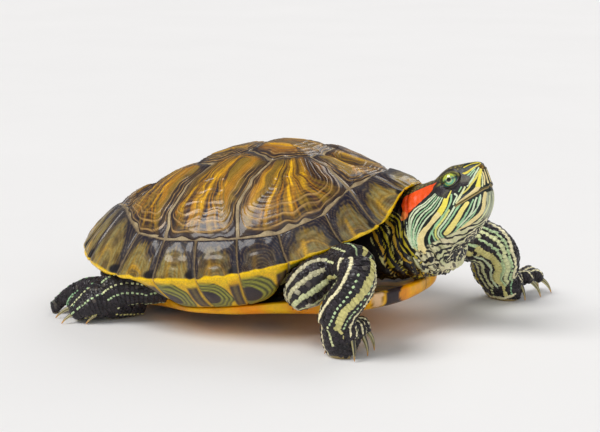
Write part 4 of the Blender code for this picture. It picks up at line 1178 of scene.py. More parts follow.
def throat_height(x, y):
    """Height of the throat at a place (x, |y|) in the head's frame."""
    half, top, bottom = head_section(x)
    bottom = bottom + 0.42 * np.clip(x + 14, -14, 0)
    t = np.clip(y / (half * 1.1), 0, 0.97)
    return (top + bottom) / 2 - (top - bottom) / 2 * (1 - t ** SECTION_POWER) ** (1 / SECTION_POWER)


RED, ORANGE = hue("#fb560f"), hue("#ff8a3c")
BUTTER, PEACH, TAN = hue("#f7e75c"), hue("#f6e2a0"), hue("#e2ce90")
GREEN_DARK, GREY_GREEN = hue("#22332f"), hue("#b8bea0")
PATCH_LOW = ((-4.3, 0.0), (-5.8, -0.9), (-7.9, -2.3), (-11.3, -2.9), (-14.9, -3.8), (-18.9, -3.9),
             (-21.8, -5.6), (-23.8, -9.0), (-25.6, -13.5), (-26.0, -19.0))
YELLOW_LINE = ((-0.1, -4.3), (-1.9, -6.4), (-4.0, -9.0), (-7.0, -11.1), (-11.0, -12.7), (-14.4, -14.2),
               (-17.4, -15.4), (-19.9, -17.2), (-21.6, -20.0), (-22.6, -22.6))
MANDIBLE_LINE = ((5.2, -12.3), (4.4, -12.6), (1.8, -14.2), (-1.1, -16.4), (-4.3, -18.4), (-6.8, -19.6),
                 (-9.0, -20.5))
JAW_LINE = ((12.2, -11.6), (10.8, -14.1), (9.1, -16.6), (6.7, -18.7), (2.7, -20.1), (-1.2, -21.1),
            (-5.3, -22.1), (-10.3, -23.4), (-15.2, -24.2), (-19.7, -25.0))
MOUTH_LINE = ((-0.6, -11.5), (0.7, -11.1), (4.3, -10.6), (7.4, -10.2), (10.4, -9.8), (12.6, -9.3),
              (13.6, -9.5))
# Folds of the neck: start, depth and width.
NECK_FOLDS = ((-27.5, 0.55, 0.7), (-30.5, 0.6, 0.8), (-34.0, 0.7, 0.9), (-38.0, 0.7, 1.0))
# Lines of the throat: where each starts at the middle, and its slope.
THROAT_LINES = ((6.5, 0.95), (4.0, 0.85), (1.5, 0.72), (-1.0, 0.64), (-3.5, 0.58), (-6.0, 0.53),
                (-8.5, 0.48), (-11.0, 0.44), (-13.5, 0.40), (-16.0, 0.36), (-18.5, 0.32),
                (-21.0, 0.3), (-23.5, 0.3))


def between(low, high, share):
    """Line that lies that share of the way from one line to another."""
    return resample(low, 10) * (1 - share) + resample(high, 10) * share


def loop_round(line, gap):
    """Line that runs down one side of another, round its end and back up the other side."""
    line = resample(line, 9)
    way = unit(np.gradient(line, axis=0))
    side = np.stack([-way[:, 1], way[:, 0]], -1)
    turn = np.linspace(0, np.pi, 6)[1:-1, None]
    end = line[-1] + gap * (np.cos(turn) * -side[-1] + np.sin(turn) * way[-1])
    return np.vstack([line - side * gap, end, (line + side * gap)[::-1]])


def head_strokes():
    """Strokes on the side of head and neck: (x, z) or (x, y, z) places, half widths, colour."""
    patch_middle = ((-5.0, 1.9), (-8.3, 1.2), (-12.2, 0.9), (-16.0, 0.7), (-19.0, 0.1), (-20.8, -0.9),
                    (-22.3, -3.0))
    strokes = [
        (patch_middle, (0.5, 1.8, 3.1, 4.2, 4.5, 3.9, 2.2), RED),
        (((-24.0, -4.6), (-24.9, -6.0)), (1.5, 1.1), ORANGE),
        (YELLOW_LINE[:4], (0.95, 1.05, 1.25, 1.35), BUTTER),
        (YELLOW_LINE[3:], (1.3, 1.15, 1.0, 1.2, 1.45, 1.6, 1.6), PEACH),
        (MANDIBLE_LINE, (0.7, 0.9, 1.0, 1.1, 1.25, 1.2, 0.9), mix(BUTTER, PEACH, 0.5)),
        (JAW_LINE, (0.8, 0.9, 0.9, 1.0, 1.0, 1.0, 1.0, 1.1, 1.0, 0.8), PEACH)]
    for share, start, widths, colour in (
            (0.08, 0, (0.25, 0.35, 0.36, 0.28), FOAM), (0.20, 0, (0.25, 0.4, 0.55, 0.36), FOAM),
            (0.34, 1, (0.2, 0.3, 0.32, 0.24), MINT), (0.47, 0, (0.3, 0.4, 0.42, 0.32), FOAM),
            (0.60, 1, (0.25, 0.3, 0.3, 0.24), MINT), (0.74, 0, (0.25, 0.35, 0.4, 0.3), FOAM)):
        line = between(PATCH_LOW, YELLOW_LINE, share)[start:]
        strokes.append((line, np.interp(np.linspace(0, 3, len(line)), range(4), widths), colour))
    for gap, start, end, width, colour in ((2.15, 1, -2, 0.38, MINT), (3.35, 2, -5, 0.4, FOAM),
                                           (4.6, 3, -9, 0.45, LIME), (5.8, 5, -10, 0.3, MINT)):
        line = loop_round(MANDIBLE_LINE, gap)[start:end]
        strokes.append((line, np.full(len(line), width), colour))
    for share, width, colour in ((0.36, 0.33, MINT), (0.56, 0.38, FOAM), (0.74, 0.25, MINT)):
        line = between(MANDIBLE_LINE[:5], JAW_LINE[:6], share)
        strokes.append((line, np.full(len(line), width), colour))
    strokes += [
        (((0.4, -6.0), (-0.8, -8.6), (-3.9, -11.6), (-8.6, -14.3), (-13.0, -16.4), (-16.6, -18.9),
          (-18.3, -22.2)), (0.35, 0.4, 0.35, 0.35, 0.4, 0.4, 0.4), MINT),
        (((1.8, -6.4), (2.3, -7.7), (0.6, -9.2), (-0.3, -10.3)), (0.4, 0.35, 0.3, 0.3), FOAM),
        (((6.6, -5.6), (4.5, -7.5), (2.4, -9.0), (1.0, -10.1)), (0.35, 0.5, 0.5, 0.3), PALE),
        (((5.2, -4.9), (3.6, -6.2)), (0.3, 0.25), MINT),
        (((10.9, -11.4), (9.6, -13.6), (7.2, -16.0), (3.0, -18.0)), (0.3, 0.35, 0.3, 0.2), FOAM),
        (((12.4, -13.4), (10.6, -16.4), (7.6, -19.3), (2.6, -21.6), (-3.6, -22.9), (-9.8, -24.4)),
         (0.4, 0.45, 0.4, 0.45, 0.5, 0.5), PALE),
        (((7.7, 2.9), (10.9, 2.9), (13.4, 2.2)), (0.35, 0.3, 0.3), SULPHUR),
        (((6.9, 0.6), (8.4, 0.2), (10.5, 0.5), (12.8, 0.9), (14.2, 1.0)),
         (0.3, 0.5, 0.45, 0.35, 0.3), SULPHUR),
        (((7.8, -1.3), (9.8, -0.7), (12.4, 0.2)), (0.2, 0.3, 0.2), MINT),
        (((7.6, -5.6), (10.2, -3.9), (12.0, -2.0), (13.8, -0.3)), (0.25, 0.4, 0.35, 0.3), FOAM),
        (((7.9, -3.4), (9.6, -2.1), (12.2, -0.6)), (0.25, 0.3, 0.2), MINT),
        (((4.0, -7.9), (7.0, -7.0), (9.5, -5.4), (11.5, -4.0), (13.2, -2.3), (14.3, -1.2)),
         (0.25, 0.35, 0.45, 0.5, 0.5, 0.45), mix(SULPHUR, PALE, 0.3)),
        (((1.2, -10.7), (4.3, -10.0), (7.6, -9.3), (9.8, -8.7), (11.4, -7.9)),
         (0.3, 0.5, 0.6, 0.85, 0.9), TAN),
        (((14.6, -2.6), (14.3, -5.0), (13.4, -7.8)), (0.3, 0.45, 0.4), PEACH),
        (((11.4, -7.6), (12.4, -5.6), (13.5, -3.4), (14.4, -1.6)), (1.1, 0.75, 0.55, 0.5), BUTTER)]
    strokes = [(np.array([(x, -flank(x, z), z) for x, z in line]), widths, colour)
               for line, widths, colour in strokes]
    strokes += [
        (((14.9, -0.9, -2.0), (14.8, -1.0, -4.6), (14.2, -1.2, -7.6)), (0.3, 0.5, 0.5), PEACH),
        (((14.1, -3.0, -3.4), (13.4, -3.7, -6.4), (12.6, -4.4, -8.3)), (0.25, 0.35, 0.3), PALE),
        (((14.9, -1.2, 1.4), (13.0, -0.9, 3.1), (9.5, -0.6, 4.4)), (0.3, 0.35, 0.3), SULPHUR)]
    for number in range(9):
        start = -25.4 - 2.1 * number
        z = np.linspace(5.0 - 1.6 * number, -36.0, 15)
        x = start - 0.9 * np.clip(6 + z, 0, 9) + 1.5 * np.abs(((z + 4 + 1.5 * number) / 9.0) % 2 - 1) - 0.6
        y = -flank(x, z) - 0.12 * np.clip(-20 - x, 0, 12)
        width = 0.26 + 0.2 * np.sin(z * 0.8 + number * 2) + 0.25 * (number % 2)
        colour = (STRAW, MOSS, MOSS, OCHRE)[number % 4] * 0.85
        strokes.append((np.stack([x, y, z], -1), width, mix(colour, MOSS, 0.4 * step(-26, -10, z.mean()))))
    return [(np.array(line, float), np.asarray(widths, float), colour) for line, widths, colour in strokes]


def throat_strokes():
    """Dark wavy lines under the jaw and throat."""
    strokes = []
    for start, slope in THROAT_LINES:
        away = np.linspace(0, 26, 20)
        x = start - away
        y = 0.5 + slope * away + 0.45 * np.sin(away * 1.15 + start * 2) * step(1, 5, away)
        keep = (y < flank(x, np.full(len(x), -22.0)) + 1.2) & (x > -33)
        if keep.sum() > 2:
            x, y = x[keep], np.abs(y[keep])
            width = 0.52 + 0.16 * np.sin(x * 1.7 + start)
            strokes.append((np.stack([x, -y, throat_height(x, y)], -1), width, INK))
    return strokes


def right_side(places):
    """Factors that mirror the places left of the middle to the right side."""
    hand = np.where(places[:, 1:2] > 0, -1.0, 1.0)
    return np.hstack([np.ones_like(hand), hand, np.ones_like(hand)])


def nostril_distance(x, y, z):
    """Millimetres from the nearer nostril."""
    return np.sqrt((x - 14.6) ** 2 * 0.5 + (np.abs(y) - 1.5) ** 2 + (z + 0.35) ** 2)


def eye_frame(gaze, ahead):
    """Directions out of the right eye, forward and up across it."""
    gaze, ahead = unit(gaze), unit(ahead)
    upward = np.cross(gaze, ahead)
    return gaze, ahead, upward * np.sign(upward[2])


def stroke_edges(points, normals, strokes):
    """Colour of the nearest stroke and millimetres inside its edge, measured along the skin."""
    flip = right_side(points)
    side, away = points * flip, normals * flip
    best, colours = np.full(len(points), NO_STROKE), np.tile(INK, (len(points), 1))
    for line, widths, colour in strokes:
        rows = smooth_path(np.hstack([line, widths[:, None]]), 6 * (len(line) - 1) + 1)
        low, high = rows[:, :3].min(0) - 7, rows[:, :3].max(0) + 7
        near = np.where(((side > low) & (side < high)).all(1))[0]
        place, up = side[near], away[near]
        loose = 9.0 + 40.0 * step(-23.0, -26.0, place[:, 0])
        found = np.full(len(near), NO_STROKE)
        for a, b in zip(rows, rows[1:]):
            span = b[:3] - a[:3]
            t = np.clip((place - a[:3]) @ span / max(span @ span, 1e-9), 0, 1)
            gap = place - a[:3] - t[:, None] * span
            lift = (gap * up).sum(1)
            along = np.sqrt(np.maximum((gap ** 2).sum(1) - np.minimum(lift ** 2, loose), 0))
            found = np.maximum(found, a[3] + (b[3] - a[3]) * t - along)
        better = found > best[near]
        best[near[better]] = found[better]
        colours[near[better]] = colour
    return colours, best


def face_push(x, y, z, upward, gap):
    """Millimetres that mouth, brow, nostrils, creases and folds move the skin outward."""
    on_mouth = step(-0.9, 0.6, x) * step(-0.5, 0.2, np.abs(upward) * -1 + 0.9)
    push = on_mouth * (-0.75 * bump(gap, 0.20) + 0.30 * step(-0.1, 0.25, gap) * step(2.2, 0.8, gap)
                       - 0.28 * step(-0.1, -0.4, gap) * step(-2.6, -1.0, gap))
    push = push + 0.75 * np.exp(-((x - 2.0) / 4.2) ** 2 - ((z - 4.2) / 1.7) ** 2 - ((y + 5.6) / 2.6) ** 2)
    push = push - 0.5 * np.exp(-((x - 8.5) / 2.6) ** 2 - ((z + 0.6) / 2.2) ** 2 - ((y + 5.2) / 2.4) ** 2)
    nostril = nostril_distance(x, y, z)
    push = push - 1.3 * bump(nostril, 0.62) + 0.22 * bump(nostril - 1.05, 0.4)
    crease = np.interp(z, (-14, -8, -3, 1, 4), (-25.2, -23.6, -22.4, -22.3, -21.0))
    push = push - 0.9 * bump(x - crease, 0.45) * step(-17, -11, z) * step(5.5, 2, z)
    for start, depth, width in NECK_FOLDS:
        fold = start + 0.16 * (z + 12) + 0.9 * np.sin(z * 0.34 + start)
        push = push - depth * bump(x - fold, width) * step(-20.5, -24.0, x)
    throat = step(-21.0, -25.0, z) * step(6.0, 0.0, x)
    push = push + throat * 0.38 * np.sin(x * 1.15 + 1.6 * np.sin(y * 0.55) + 0.25 * y)
    push = push + throat * 0.25 * waves(x, y, 3.0, 55)
    return push + 0.10 * waves(x, z, 3.2, 56) * step(2.0, -8.0, x)


def shape_lids(local):
    """Places moved to the lids and sockets, their reach (1 at the lids' edge) and which are near."""
    gaze, ahead, upward = eye_frame((0.16, -1.0, 0.05), (1.0, 0.16, 0.0))
    offset = local - EYE_PLACE
    distance = np.linalg.norm(offset, axis=1)
    way = offset / np.maximum(distance, 1e-6)[:, None]
    facing = way @ gaze
    a, b = (way @ ahead) * 4.9, (way @ upward) * 4.9
    tilt = math.radians(4)
    a, b = a * math.cos(tilt) + b * math.sin(tilt), -a * math.sin(tilt) + b * math.cos(tilt)
    opening = np.sqrt((np.abs(a) / 4.15) ** 2.2 + (np.abs(b) / 2.65) ** 2.2)
    lid = (LID_RADIUS + 0.22 * bump(opening - 1.12, 0.07) - 0.16 * bump(opening - 1.32, 0.06)
           + 0.1 * bump(opening - 1.5, 0.08))
    wanted = SOCKET_RADIUS + (lid - SOCKET_RADIUS) * step(1.0, 1.05, opening)
    near = (facing > 0.05) & (distance < 9)
    sunk = near & (opening < 1.05)
    raised = near & (opening >= 1.05) & (distance < lid)
    distance = np.where(sunk, wanted, np.where(raised, lid, distance))
    return EYE_PLACE + way * distance[:, None], opening, near


def shape_face(points, normals):
    """The skin's points moved to a face, and the lids' reach, nearness and mouth gap of each."""
    place = world_to_head(points)
    flip = right_side(place)
    local = place * flip
    x, y, z = local.T
    away = (world_to_head(points + normals) - place) * flip
    mouth = np.interp(x, *zip(*MOUTH_LINE)) + 0.9 * bump(y / 0.9, 1.0) * step(11.5, 13.0, x)
    gap = z - mouth
    local = local + away * face_push(x, y, z, away[:, 2], gap)[:, None]
    local, opening, near = shape_lids(local)
    return head_to_world(local * flip), opening, near, gap


def head_tints(points, normals, opening, near, gap):
    """Ground colour, stroke colour and edge of the strokes over head and neck."""
    place = world_to_head(points)
    away = world_to_head(points + normals) - place
    x, y, z = place.T
    ground = mix(INK, GREEN_DARK, step(-26, -8, x) * 0.5)
    brow = step(2.4, 3.8, z + 0.5 * away[:, 2]) * step(8.0, 5.5, x)
    flecks = step(0.2, 0.9, waves(x * 1.4, y * 1.4, 1.6, 21))
    ground = layers(
        ground, (mix(hue("#4c4530"), hue("#a8984a"), flecks), brow * 0.9),
        (mix(hue("#231c22"), hue("#4a4636"), bump(opening - 1.32, 0.08)), near * step(1.95, 1.45, opening)),
        (hue("#8f8a3c"), near * bump(opening - 1.10, 0.05) * step(-0.5, 0.5, z) * 0.9))
    depth = step(-20.5, -23.5, z + away[:, 2]) * step(-31.5, -27, x + 0.2 * (z + 24))
    lean = away[:, 2] + 0.12 * waves(x, y, 3.5, 33)
    throat = step(0.3, 0.5, depth) * step(-0.12, -0.2, lean)
    pale = mix(hue("#e9dfb6"), hue("#cfcf9e"), 0.5 + 0.5 * waves(x, y, 7, 31))
    worms = step(0.45, 0.7, waves(x * 1.2, y, 2.6, 32) * step(-6, -14, x))
    pale = mix(pale, hue("#3a2e2c"), worms * 0.85)
    chin = step(4.0, 8.0, x) * step(-11.2, -11.8, z) * step(3.9, 3.5, np.abs(y) + 0.5 * np.sin(z * 1.1))
    chin_tint = mix(GREY_GREEN, hue("#5c6650"), 0.8 * step(0.5, 0.9, np.sin(np.abs(y) * 3.6 + 0.4 * z)))
    ground = mix(ground, mix(pale, chin_tint, chin), np.maximum(throat, chin))
    colours, edges = stroke_edges(place, away, head_strokes())
    dark, lines = stroke_edges(place, away, throat_strokes())
    under_jaw = throat > 0.5
    colours = np.where(under_jaw[:, None], dark, colours)
    edges = np.where(under_jaw, lines, edges)
    edges = np.where((brow > 0.5) | (near & (opening < 1.5)), BARE, edges)
    lip = step(-0.6, 0.2, x) * step(0.45, 0.1, gap) * step(-0.9, -0.35, gap)
    edges = np.where(lip > 0.5, BARE, edges)
    ground = layers(ground, (hue("#c9b070"), lip * 0.9),
                    (hue("#120c0a"), bump(gap, 0.13) * step(-0.6, 0.2, x)))
    nostril = nostril_distance(x, y, z)
    ground = layers(ground, (OCHRE, bump(nostril, 0.9) * 0.9), (hue("#3a1c08"), bump(nostril, 0.38)))
    edges = np.where(nostril < 0.9, BARE, edges)
    ground = mix(ground, hue("#0c0a0a"), near * step(1.06, 1.0, opening))
    return ground, colours, edges


def limb_places(points, groups):
    """Nearest group of rings to each point, with the share of its length and the degrees round it."""
    sizes = np.array([len(rings) for rings in groups])
    sides = np.array([rings.shape[1] for rings in groups])
    start = np.concatenate([[0], np.cumsum(sizes * sides)])
    tree = KDTree(int(start[-1]))
    for index, place in enumerate(np.vstack([rings.reshape(-1, 3) for rings in groups])):
        tree.insert(place, index)
    tree.balance()
    nearest = np.array([tree.find(point)[1] for point in points])
    number = np.searchsorted(start, nearest, side="right") - 1
    index, around = nearest - start[number], sides[number]
    return number, (index // around) / (sizes[number] - 1), (index % around) * 360 / around


def flesh_piece(rings):
    """Trunk and all the swept flesh as one even mesh, finer toward the nose."""
    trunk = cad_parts["trunk"].data
    places, normals = coordinates(trunk)
    points, faces = [places / MM + CENTRE - normals * COAT], [list(face.vertices) for face in trunk.polygons]
    count = len(places)
    for group in rings:
        places, fresh = closed_loft(group)
        points.append(places)
        faces += [[index + count for index in face] for face in fresh]
        count += len(places)
    skin = outward(add_mesh("skin", np.vstack(points), faces))
    remesh = skin.modifiers.new("one skin", "REMESH")
    remesh.mode = "VOXEL"
    remesh.voxel_size = VOXEL
    apply_modifiers(skin)
    relax(skin.data, 5)

    def front(places, reach):
        x, _, z = world_to_head(places).T
        return (x > reach) & (z > -42)

    for split, relaxed, pull in ((-31, -32, 0.5), (-4.5, -5, 0.4)):
        subdivide(skin.data, lambda places, reach=split: front(places, reach))
        relax(skin.data, 2, pull, lambda places, reach=relaxed: front(places, reach).astype(float))
    return skin


def leg_tints(x, z, limbs, number, share, degrees):
    """Ground colour, stroke colour and edge of the strokes over legs and tail."""
    ground = mix(hue("#141013"), hue("#2a2226"), 0.5 + 0.5 * waves(x, z, 3, 92))
    colours, edges = np.zeros_like(ground), np.full(len(ground), BARE)
    for index, limb in enumerate(limbs):
        mine = number == index
        if mine.any():
            colour, edge = limb.marks(share[mine], degrees[mine])
            # Painted shade: the strokes on the skin, which shows between the scales, are darkened to 0.8 of
            # their colour.
            colours[mine], edges[mine] = colour * 0.8, edge
    return mix(ground, hue("#b7a069"), (z < SOLE_HEIGHT) * 0.8), colours, edges


def make_skin(limbs, finish):
    """One skin over all the flesh; gives back a tree for finding places on it."""
    rings = [head_rings(), neck_rings()] + [limb.rings for limb in limbs]
    skin = flesh_piece(rings)
    points, normals = coordinates(skin.data)
    number, share, degrees = limb_places(points, rings)
    leg = number > 1
    number, share, degrees = number[leg] - 2, share[leg], degrees[leg]
    shaped, opening, near, gap = shape_face(points, normals)
    wrinkle = 0.16 * waves(points[:, 0], points[:, 1] + points[:, 2], 3.0, 91)
    shaped = np.where(leg[:, None], points + normals * wrinkle[:, None], shaped)
    shaped[:, 2] = np.maximum(shaped[:, 2], 0.02)
    skin.data.vertices.foreach_set("co", shaped.ravel())
    skin.data.update()
    points, normals = coordinates(skin.data)
    ground, colours, edges = head_tints(points, normals, opening, near, gap)
    x, _, z = points[leg].T
    ground[leg], colours[leg], edges[leg] = leg_tints(x, z, limbs, number, share, degrees)
    skin.data.vertices.foreach_set("co", to_metres(points).ravel())
    for key, values in (("ground", ground), ("mark", colours), ("edge", edges)):
        add_field(skin.data, key, values)
    skin.data.shade_smooth()
    skin.data.materials.clear()
    skin.data.materials.append(finish)
    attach(skin, "root")
    flesh = [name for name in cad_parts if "claw" not in name and "eye" not in name
             and name not in ("carapace", "plastron")]
    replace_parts(skin, *flesh)
    return BVHTree.FromPolygons([Vector(point) for point in points],
                                [tuple(face.vertices) for face in skin.data.polygons])


def skin_finish(name, **options):
    """Skin: strokes over the ground, fine granules and a damp sheen."""
    made = Finish(name, **options)
    ground, mark = made.field("ground"), made.field("mark")
    grain = made.noise(0.55, 3.0)
    edge = made.total(made.field("edge", "Fac"), made.ramp(grain, 0.3, 0.7, -0.07, 0.07))
    colour = made.blend(made.ramp(edge, -0.07, 0.07), ground, mark)
    made.shade(colour, made.total(made.ramp(grain, 0.3, 0.7, 0.92, 1.1),
                                  made.ramp(made.noise(4.0), 0.3, 0.7, -0.05, 0.05)))
    made.relief(made.ramp(made.cells(0.9), 0.0, 0.6, 1.0, 0.0), 0.10)
    made.relief(grain, 0.04)
    return made.made


# ---------------------------------------------------------------- scales

PATCH = 0.0015                   # half the width of one scale on the baked map
SCALE_SIDES = 8
SCALE_LEVELS_AND_PAINTED_LIGHT = ((1.0, -0.25, 0.6), (0.92, 0.40, 0.9), (0.58, 0.95, 1.0), (0.0, 1.0, 1.06),
                (0.0, -0.6, 0.5))     # reach, height and painted light: painted shade at each scale's rim and base, a painted highlight at its top
SEARCH_CELL = 3                  # millimetres between the lines of the search grid
SKIN_REACH = 1.9                 # a place on a limb's rings has to be this close to the skin
CLEARANCE = 0.8                  # of two scales' sizes together, between scales of two stretches
LINE_HEIGHT, DARK_HEIGHT = 0.21, 0.27


def scale_mesh(name, parts, finish):
    """One mesh of many low domed plates, each a small patch of its limb's unwrap."""
    sides = SCALE_SIDES
    angles = np.linspace(0, 2 * np.pi, sides, endpoint=False) + np.pi / sides
    cosine, sine = super_circle(angles, 3.6)
    places, tints, maps = [], [], []
    for number, (centres, normals, along, sizes, heights, colours, share, degrees) in enumerate(parts):
        across = unit(np.cross(normals, along))
        along = np.cross(across, normals)
        root = np.stack([(number + 0.04 + 0.92 * (degrees % 360) / 360) / len(parts),
                         0.03 + 0.94 * np.clip(share, 0, 1)], -1)
        points, shades, spots = [], [], []
        for reach, height, light in SCALE_LEVELS_AND_PAINTED_LIGHT:
            u, v = np.outer(sizes[:, 0], cosine) * reach, np.outer(sizes[:, 1], sine) * reach
            spot = np.stack([cosine * reach, sine * reach], -1) * PATCH
            if reach == 0.0:
                u, v, spot = u[:, :1], v[:, :1], spot[:1]
            rise = heights * height if height > 0 else np.full(len(heights), height)
            points.append(centres[:, None] + u[..., None] * along[:, None] + v[..., None] * across[:, None]
                          + normals[:, None] * rise[:, None, None])
            # Painted light: each ring's colour is scaled, darker toward the scale's rim and base, lighter at
            # its top.
            shades.append(np.repeat((colours * light)[:, None], u.shape[1], 1))
            spots.append(root[:, None] + spot)
        places.append(np.concatenate(points, 1))
        tints.append(np.concatenate(shades, 1))
        maps.append(np.concatenate(spots, 1))
    pattern = [(level * sides + i, level * sides + (i + 1) % sides, (level + 1) * sides + (i + 1) % sides,
                (level + 1) * sides + i) for level in (0, 1) for i in range(sides)]
    pattern += [(2 * sides + i, 2 * sides + (i + 1) % sides, 3 * sides) for i in range(sides)]
    pattern += [((i + 1) % sides, i, 3 * sides + 1) for i in range(sides)]
    points = np.concatenate(places)
    faces = [tuple(index + number * points.shape[1] for index in face)
             for number in range(len(points)) for face in pattern]
    fields = {"tint": np.concatenate(tints).reshape(-1, 3)}
    made = outward(build(name, points.reshape(-1, 3), faces, finish, fields))
    corners = np.empty(len(made.data.loops), int)
    made.data.loops.foreach_get("vertex_index", corners)
    layer = made.data.uv_layers.new(name="OFBake")
    layer.data.foreach_set("uv", np.concatenate(maps).reshape(-1, 2)[corners].ravel())


def scale_places(limb, draw):
    """Rows of scales along the strokes, then a grid of dark ones between: place and size of each."""
    long, wide = limb.scale
    for places, half_width, colour, dotted in limb.strokes:
        path = smooth_path(np.array(places, float), 12 * (len(places) - 1) + 1)
        flat = path * (limb.length, math.radians(limb.girth))
        walked = np.concatenate([[0], np.cumsum(np.linalg.norm(np.diff(flat, axis=0), axis=1))])
        half = min(0.45 * half_width + 0.5, 0.95)
        for reach in np.arange(half, walked[-1], half * (2.4 if dotted else 1.6)):
            share, degrees = [np.interp(reach, walked, path[:, i]) for i in (0, 1)]
            ahead = [np.interp(reach + 0.3, walked, flat[:, i]) - np.interp(reach - 0.3, walked, flat[:, i])
                     for i in (0, 1)]
            if 0 <= share <= 1:
                yield share, degrees, math.atan2(ahead[1], ahead[0]), (half, half_width * 1.12), colour
    rows = max(3, int(limb.length / (long * 2 * 0.82)))
    for i in range(rows):
        share = (i + 0.5) / rows
        row = limb.rows[int(share * (len(limb.rows) - 1))]
        columns = max(6, int(np.pi * (row[3] + row[4]) / (wide * 2 * 0.83)))
        turns = (np.arange(columns) + 0.5 * (i % 2) + 0.1 * draw.uniform(-1, 1, columns)) / columns
        degrees = (turns % 1) * 360
        shares = np.full(columns, share)
        edge = np.maximum(limb.marks(shares, degrees)[1], limb.marks(shares, degrees, True)[1])
        for turn in degrees[edge < -0.42 * wide]:
            yield share, turn, 0.0, (long, wide), None


def dark_scale(limb, spot, chance):
    """Colour of a scale between the lines; those of the fold are blotched with grey."""
    colour = mix(INK, SLATE, 0.5 + 0.5 * chance[0])
    colour = mix(colour, hue("#6b6358"), 0.5 * step(0.8, 1.0, chance[1]))
    if limb.kind == "fold":
        blot = step(0.1, 0.4, waves(spot[0], spot[2], 5, 17) + 0.3 * chance[0] - (spot[2] - 25) / 9)
        colour = mix(colour, mix(hue("#9a947c"), hue("#ddd6b8"), 0.5 + 0.5 * chance[2]), blot)
    return colour


def limb_scales(limb, tree, taken, seed):
    """Places, sizes and colours of the scales on one limb."""
    draw = np.random.default_rng(seed)
    kept = []
    for share, degrees, slant, size, colour in scale_places(limb, draw):
        chance = draw.uniform(-1, 1, 3)
        place = share * (len(limb.rows) - 1)
        low, k = int(place), (degrees / 360 * LIMB_SIDES) % LIMB_SIDES
        ring, following = limb.rings[low], limb.rings[min(low + 1, len(limb.rings) - 1)]
        section = ring + (following - ring) * (place - low)
        point = section[int(k)] * (1 - k % 1) + section[(int(k) + 1) % LIMB_SIDES] * (k % 1)
        spot, normal, _, gap = tree.find_nearest(point)
        if gap > SKIN_REACH or spot[2] < SCALES_FROM:
            continue
        cell = tuple(int(v // SEARCH_CELL) for v in spot)
        near = [other for dx in (-1, 0, 1) for dy in (-1, 0, 1) for dz in (-1, 0, 1)
                for other in taken.get((cell[0] + dx, cell[1] + dy, cell[2] + dz), ())]
        if any(name != limb.name and (spot - other).length < CLEARANCE * (size[1] + reach)
               for other, reach, name in near):
            continue
        taken.setdefault(cell, []).append((spot.copy(), size[1], limb.name))
        normal = unit(np.array(normal))
        tangent = limb.tangents[low]
        along = tangent * math.cos(slant) + np.cross(tangent, normal) * math.sin(slant)
        lined = colour is not None
        colour = colour * (0.96 + 0.08 * chance[0]) if lined else dark_scale(limb, spot, chance)
        kept.append((np.array(spot), normal, along, np.array(size) * (1 + 0.07 * chance[2]),
                     (LINE_HEIGHT if lined else DARK_HEIGHT) * (1 + 0.25 * chance[1]), colour, share,
                     degrees))
    return [np.array(column) for column in zip(*kept)] if kept else None


def make_scales(limbs, skin_tree, finish):
    """Scales of all the limbs, a piece for each leg and one for the tail."""
    groups = {home: [] for home in
              ("foreleg_right", "foreleg_left", "hindleg_right", "hindleg_left", "tail")}
    homes = {"right_upper": "foreleg_right", "right_fold": "foreleg_right", "right_lower": "foreleg_right",
             "left_upper": "foreleg_left", "left_lower": "foreleg_left", "tail": "tail"}
    taken = {}
    order = {"toe": 0, "palm": 1, "limb": 2, "fold": 3}
    for index in sorted(range(len(limbs)), key=lambda number: (order[limbs[number].kind], -number)):
        limb = limbs[index]
        laid = limb_scales(limb, skin_tree, taken, 1000 + index)
        if laid:
            groups[homes.get(limb.name) or "_".join(limb.name.split("_")[:2])].append(laid)
    for home, parts in groups.items():
        scale_mesh("scales_" + home, parts, finish)


# ---------------------------------------------------------------- eyes and claws

def make_eye(name, hand, finish):
    """Eyeball with a bulging cornea, a barred pupil and a green iris."""
    rows, columns = 40, 64
    polar = np.linspace(0.02, np.pi - 0.02, rows)[:, None]
    around = np.linspace(0, 2 * np.pi, columns, endpoint=False)[None, :]
    gaze, ahead, upward = eye_frame((0.30, -0.95, 0.05), (0.95, 0.30, 0.0))
    a = np.sin(polar) * np.cos(around)
    b = np.sin(polar) * np.sin(around)
    radius = EYE_RADIUS + 0.18 * np.exp(-(polar / 0.62) ** 4)
    local = EYE_PLACE + radius[..., None] * (a[..., None] * ahead + b[..., None] * upward
                                             + (np.cos(polar) + 0 * a)[..., None] * gaze)
    local = local * (1, -hand, 1)
    reach = EYE_RADIUS * polar + 0 * a
    u, v = reach * np.cos(around), reach * np.sin(around)
    spokes = 0.5 + 0.5 * np.sin(around * 26 + 2 * np.sin(around * 5) + reach)
    bar = bump(v + 0.1, 0.5) * step(0.7, 1.3, np.abs(u))
    colour = layers(
        hue("#2e8f63"), (hue("#5fc6a4"), spokes * 0.6 + 0.3 * step(0.2, -1.5, v)),
        (hue("#c4cf2a"), step(0.2, 1.6, v) * 0.85), (hue("#d8d94a"), bump(reach - 2.55, 0.28) * 0.8),
        (hue("#e9e9a0"), bump(reach - 1.22, 0.22) * 0.9), (hue("#1c4a40"), step(2.75, 3.1, reach) * 0.7),
        (hue("#b4a52a"), bump(v - 0.9, 0.25) * step(2.6, 3.2, u) * 0.9), (hue("#0a1a18"), bar),
        (hue("#040404"), step(1.05, 0.93, reach)))
    points, faces = closed_loft(head_to_world(local))
    eye = outward(build(name + "_ball", points, faces, finish, {"tint": colour.reshape(-1, 3)}))
    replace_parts(eye, name)


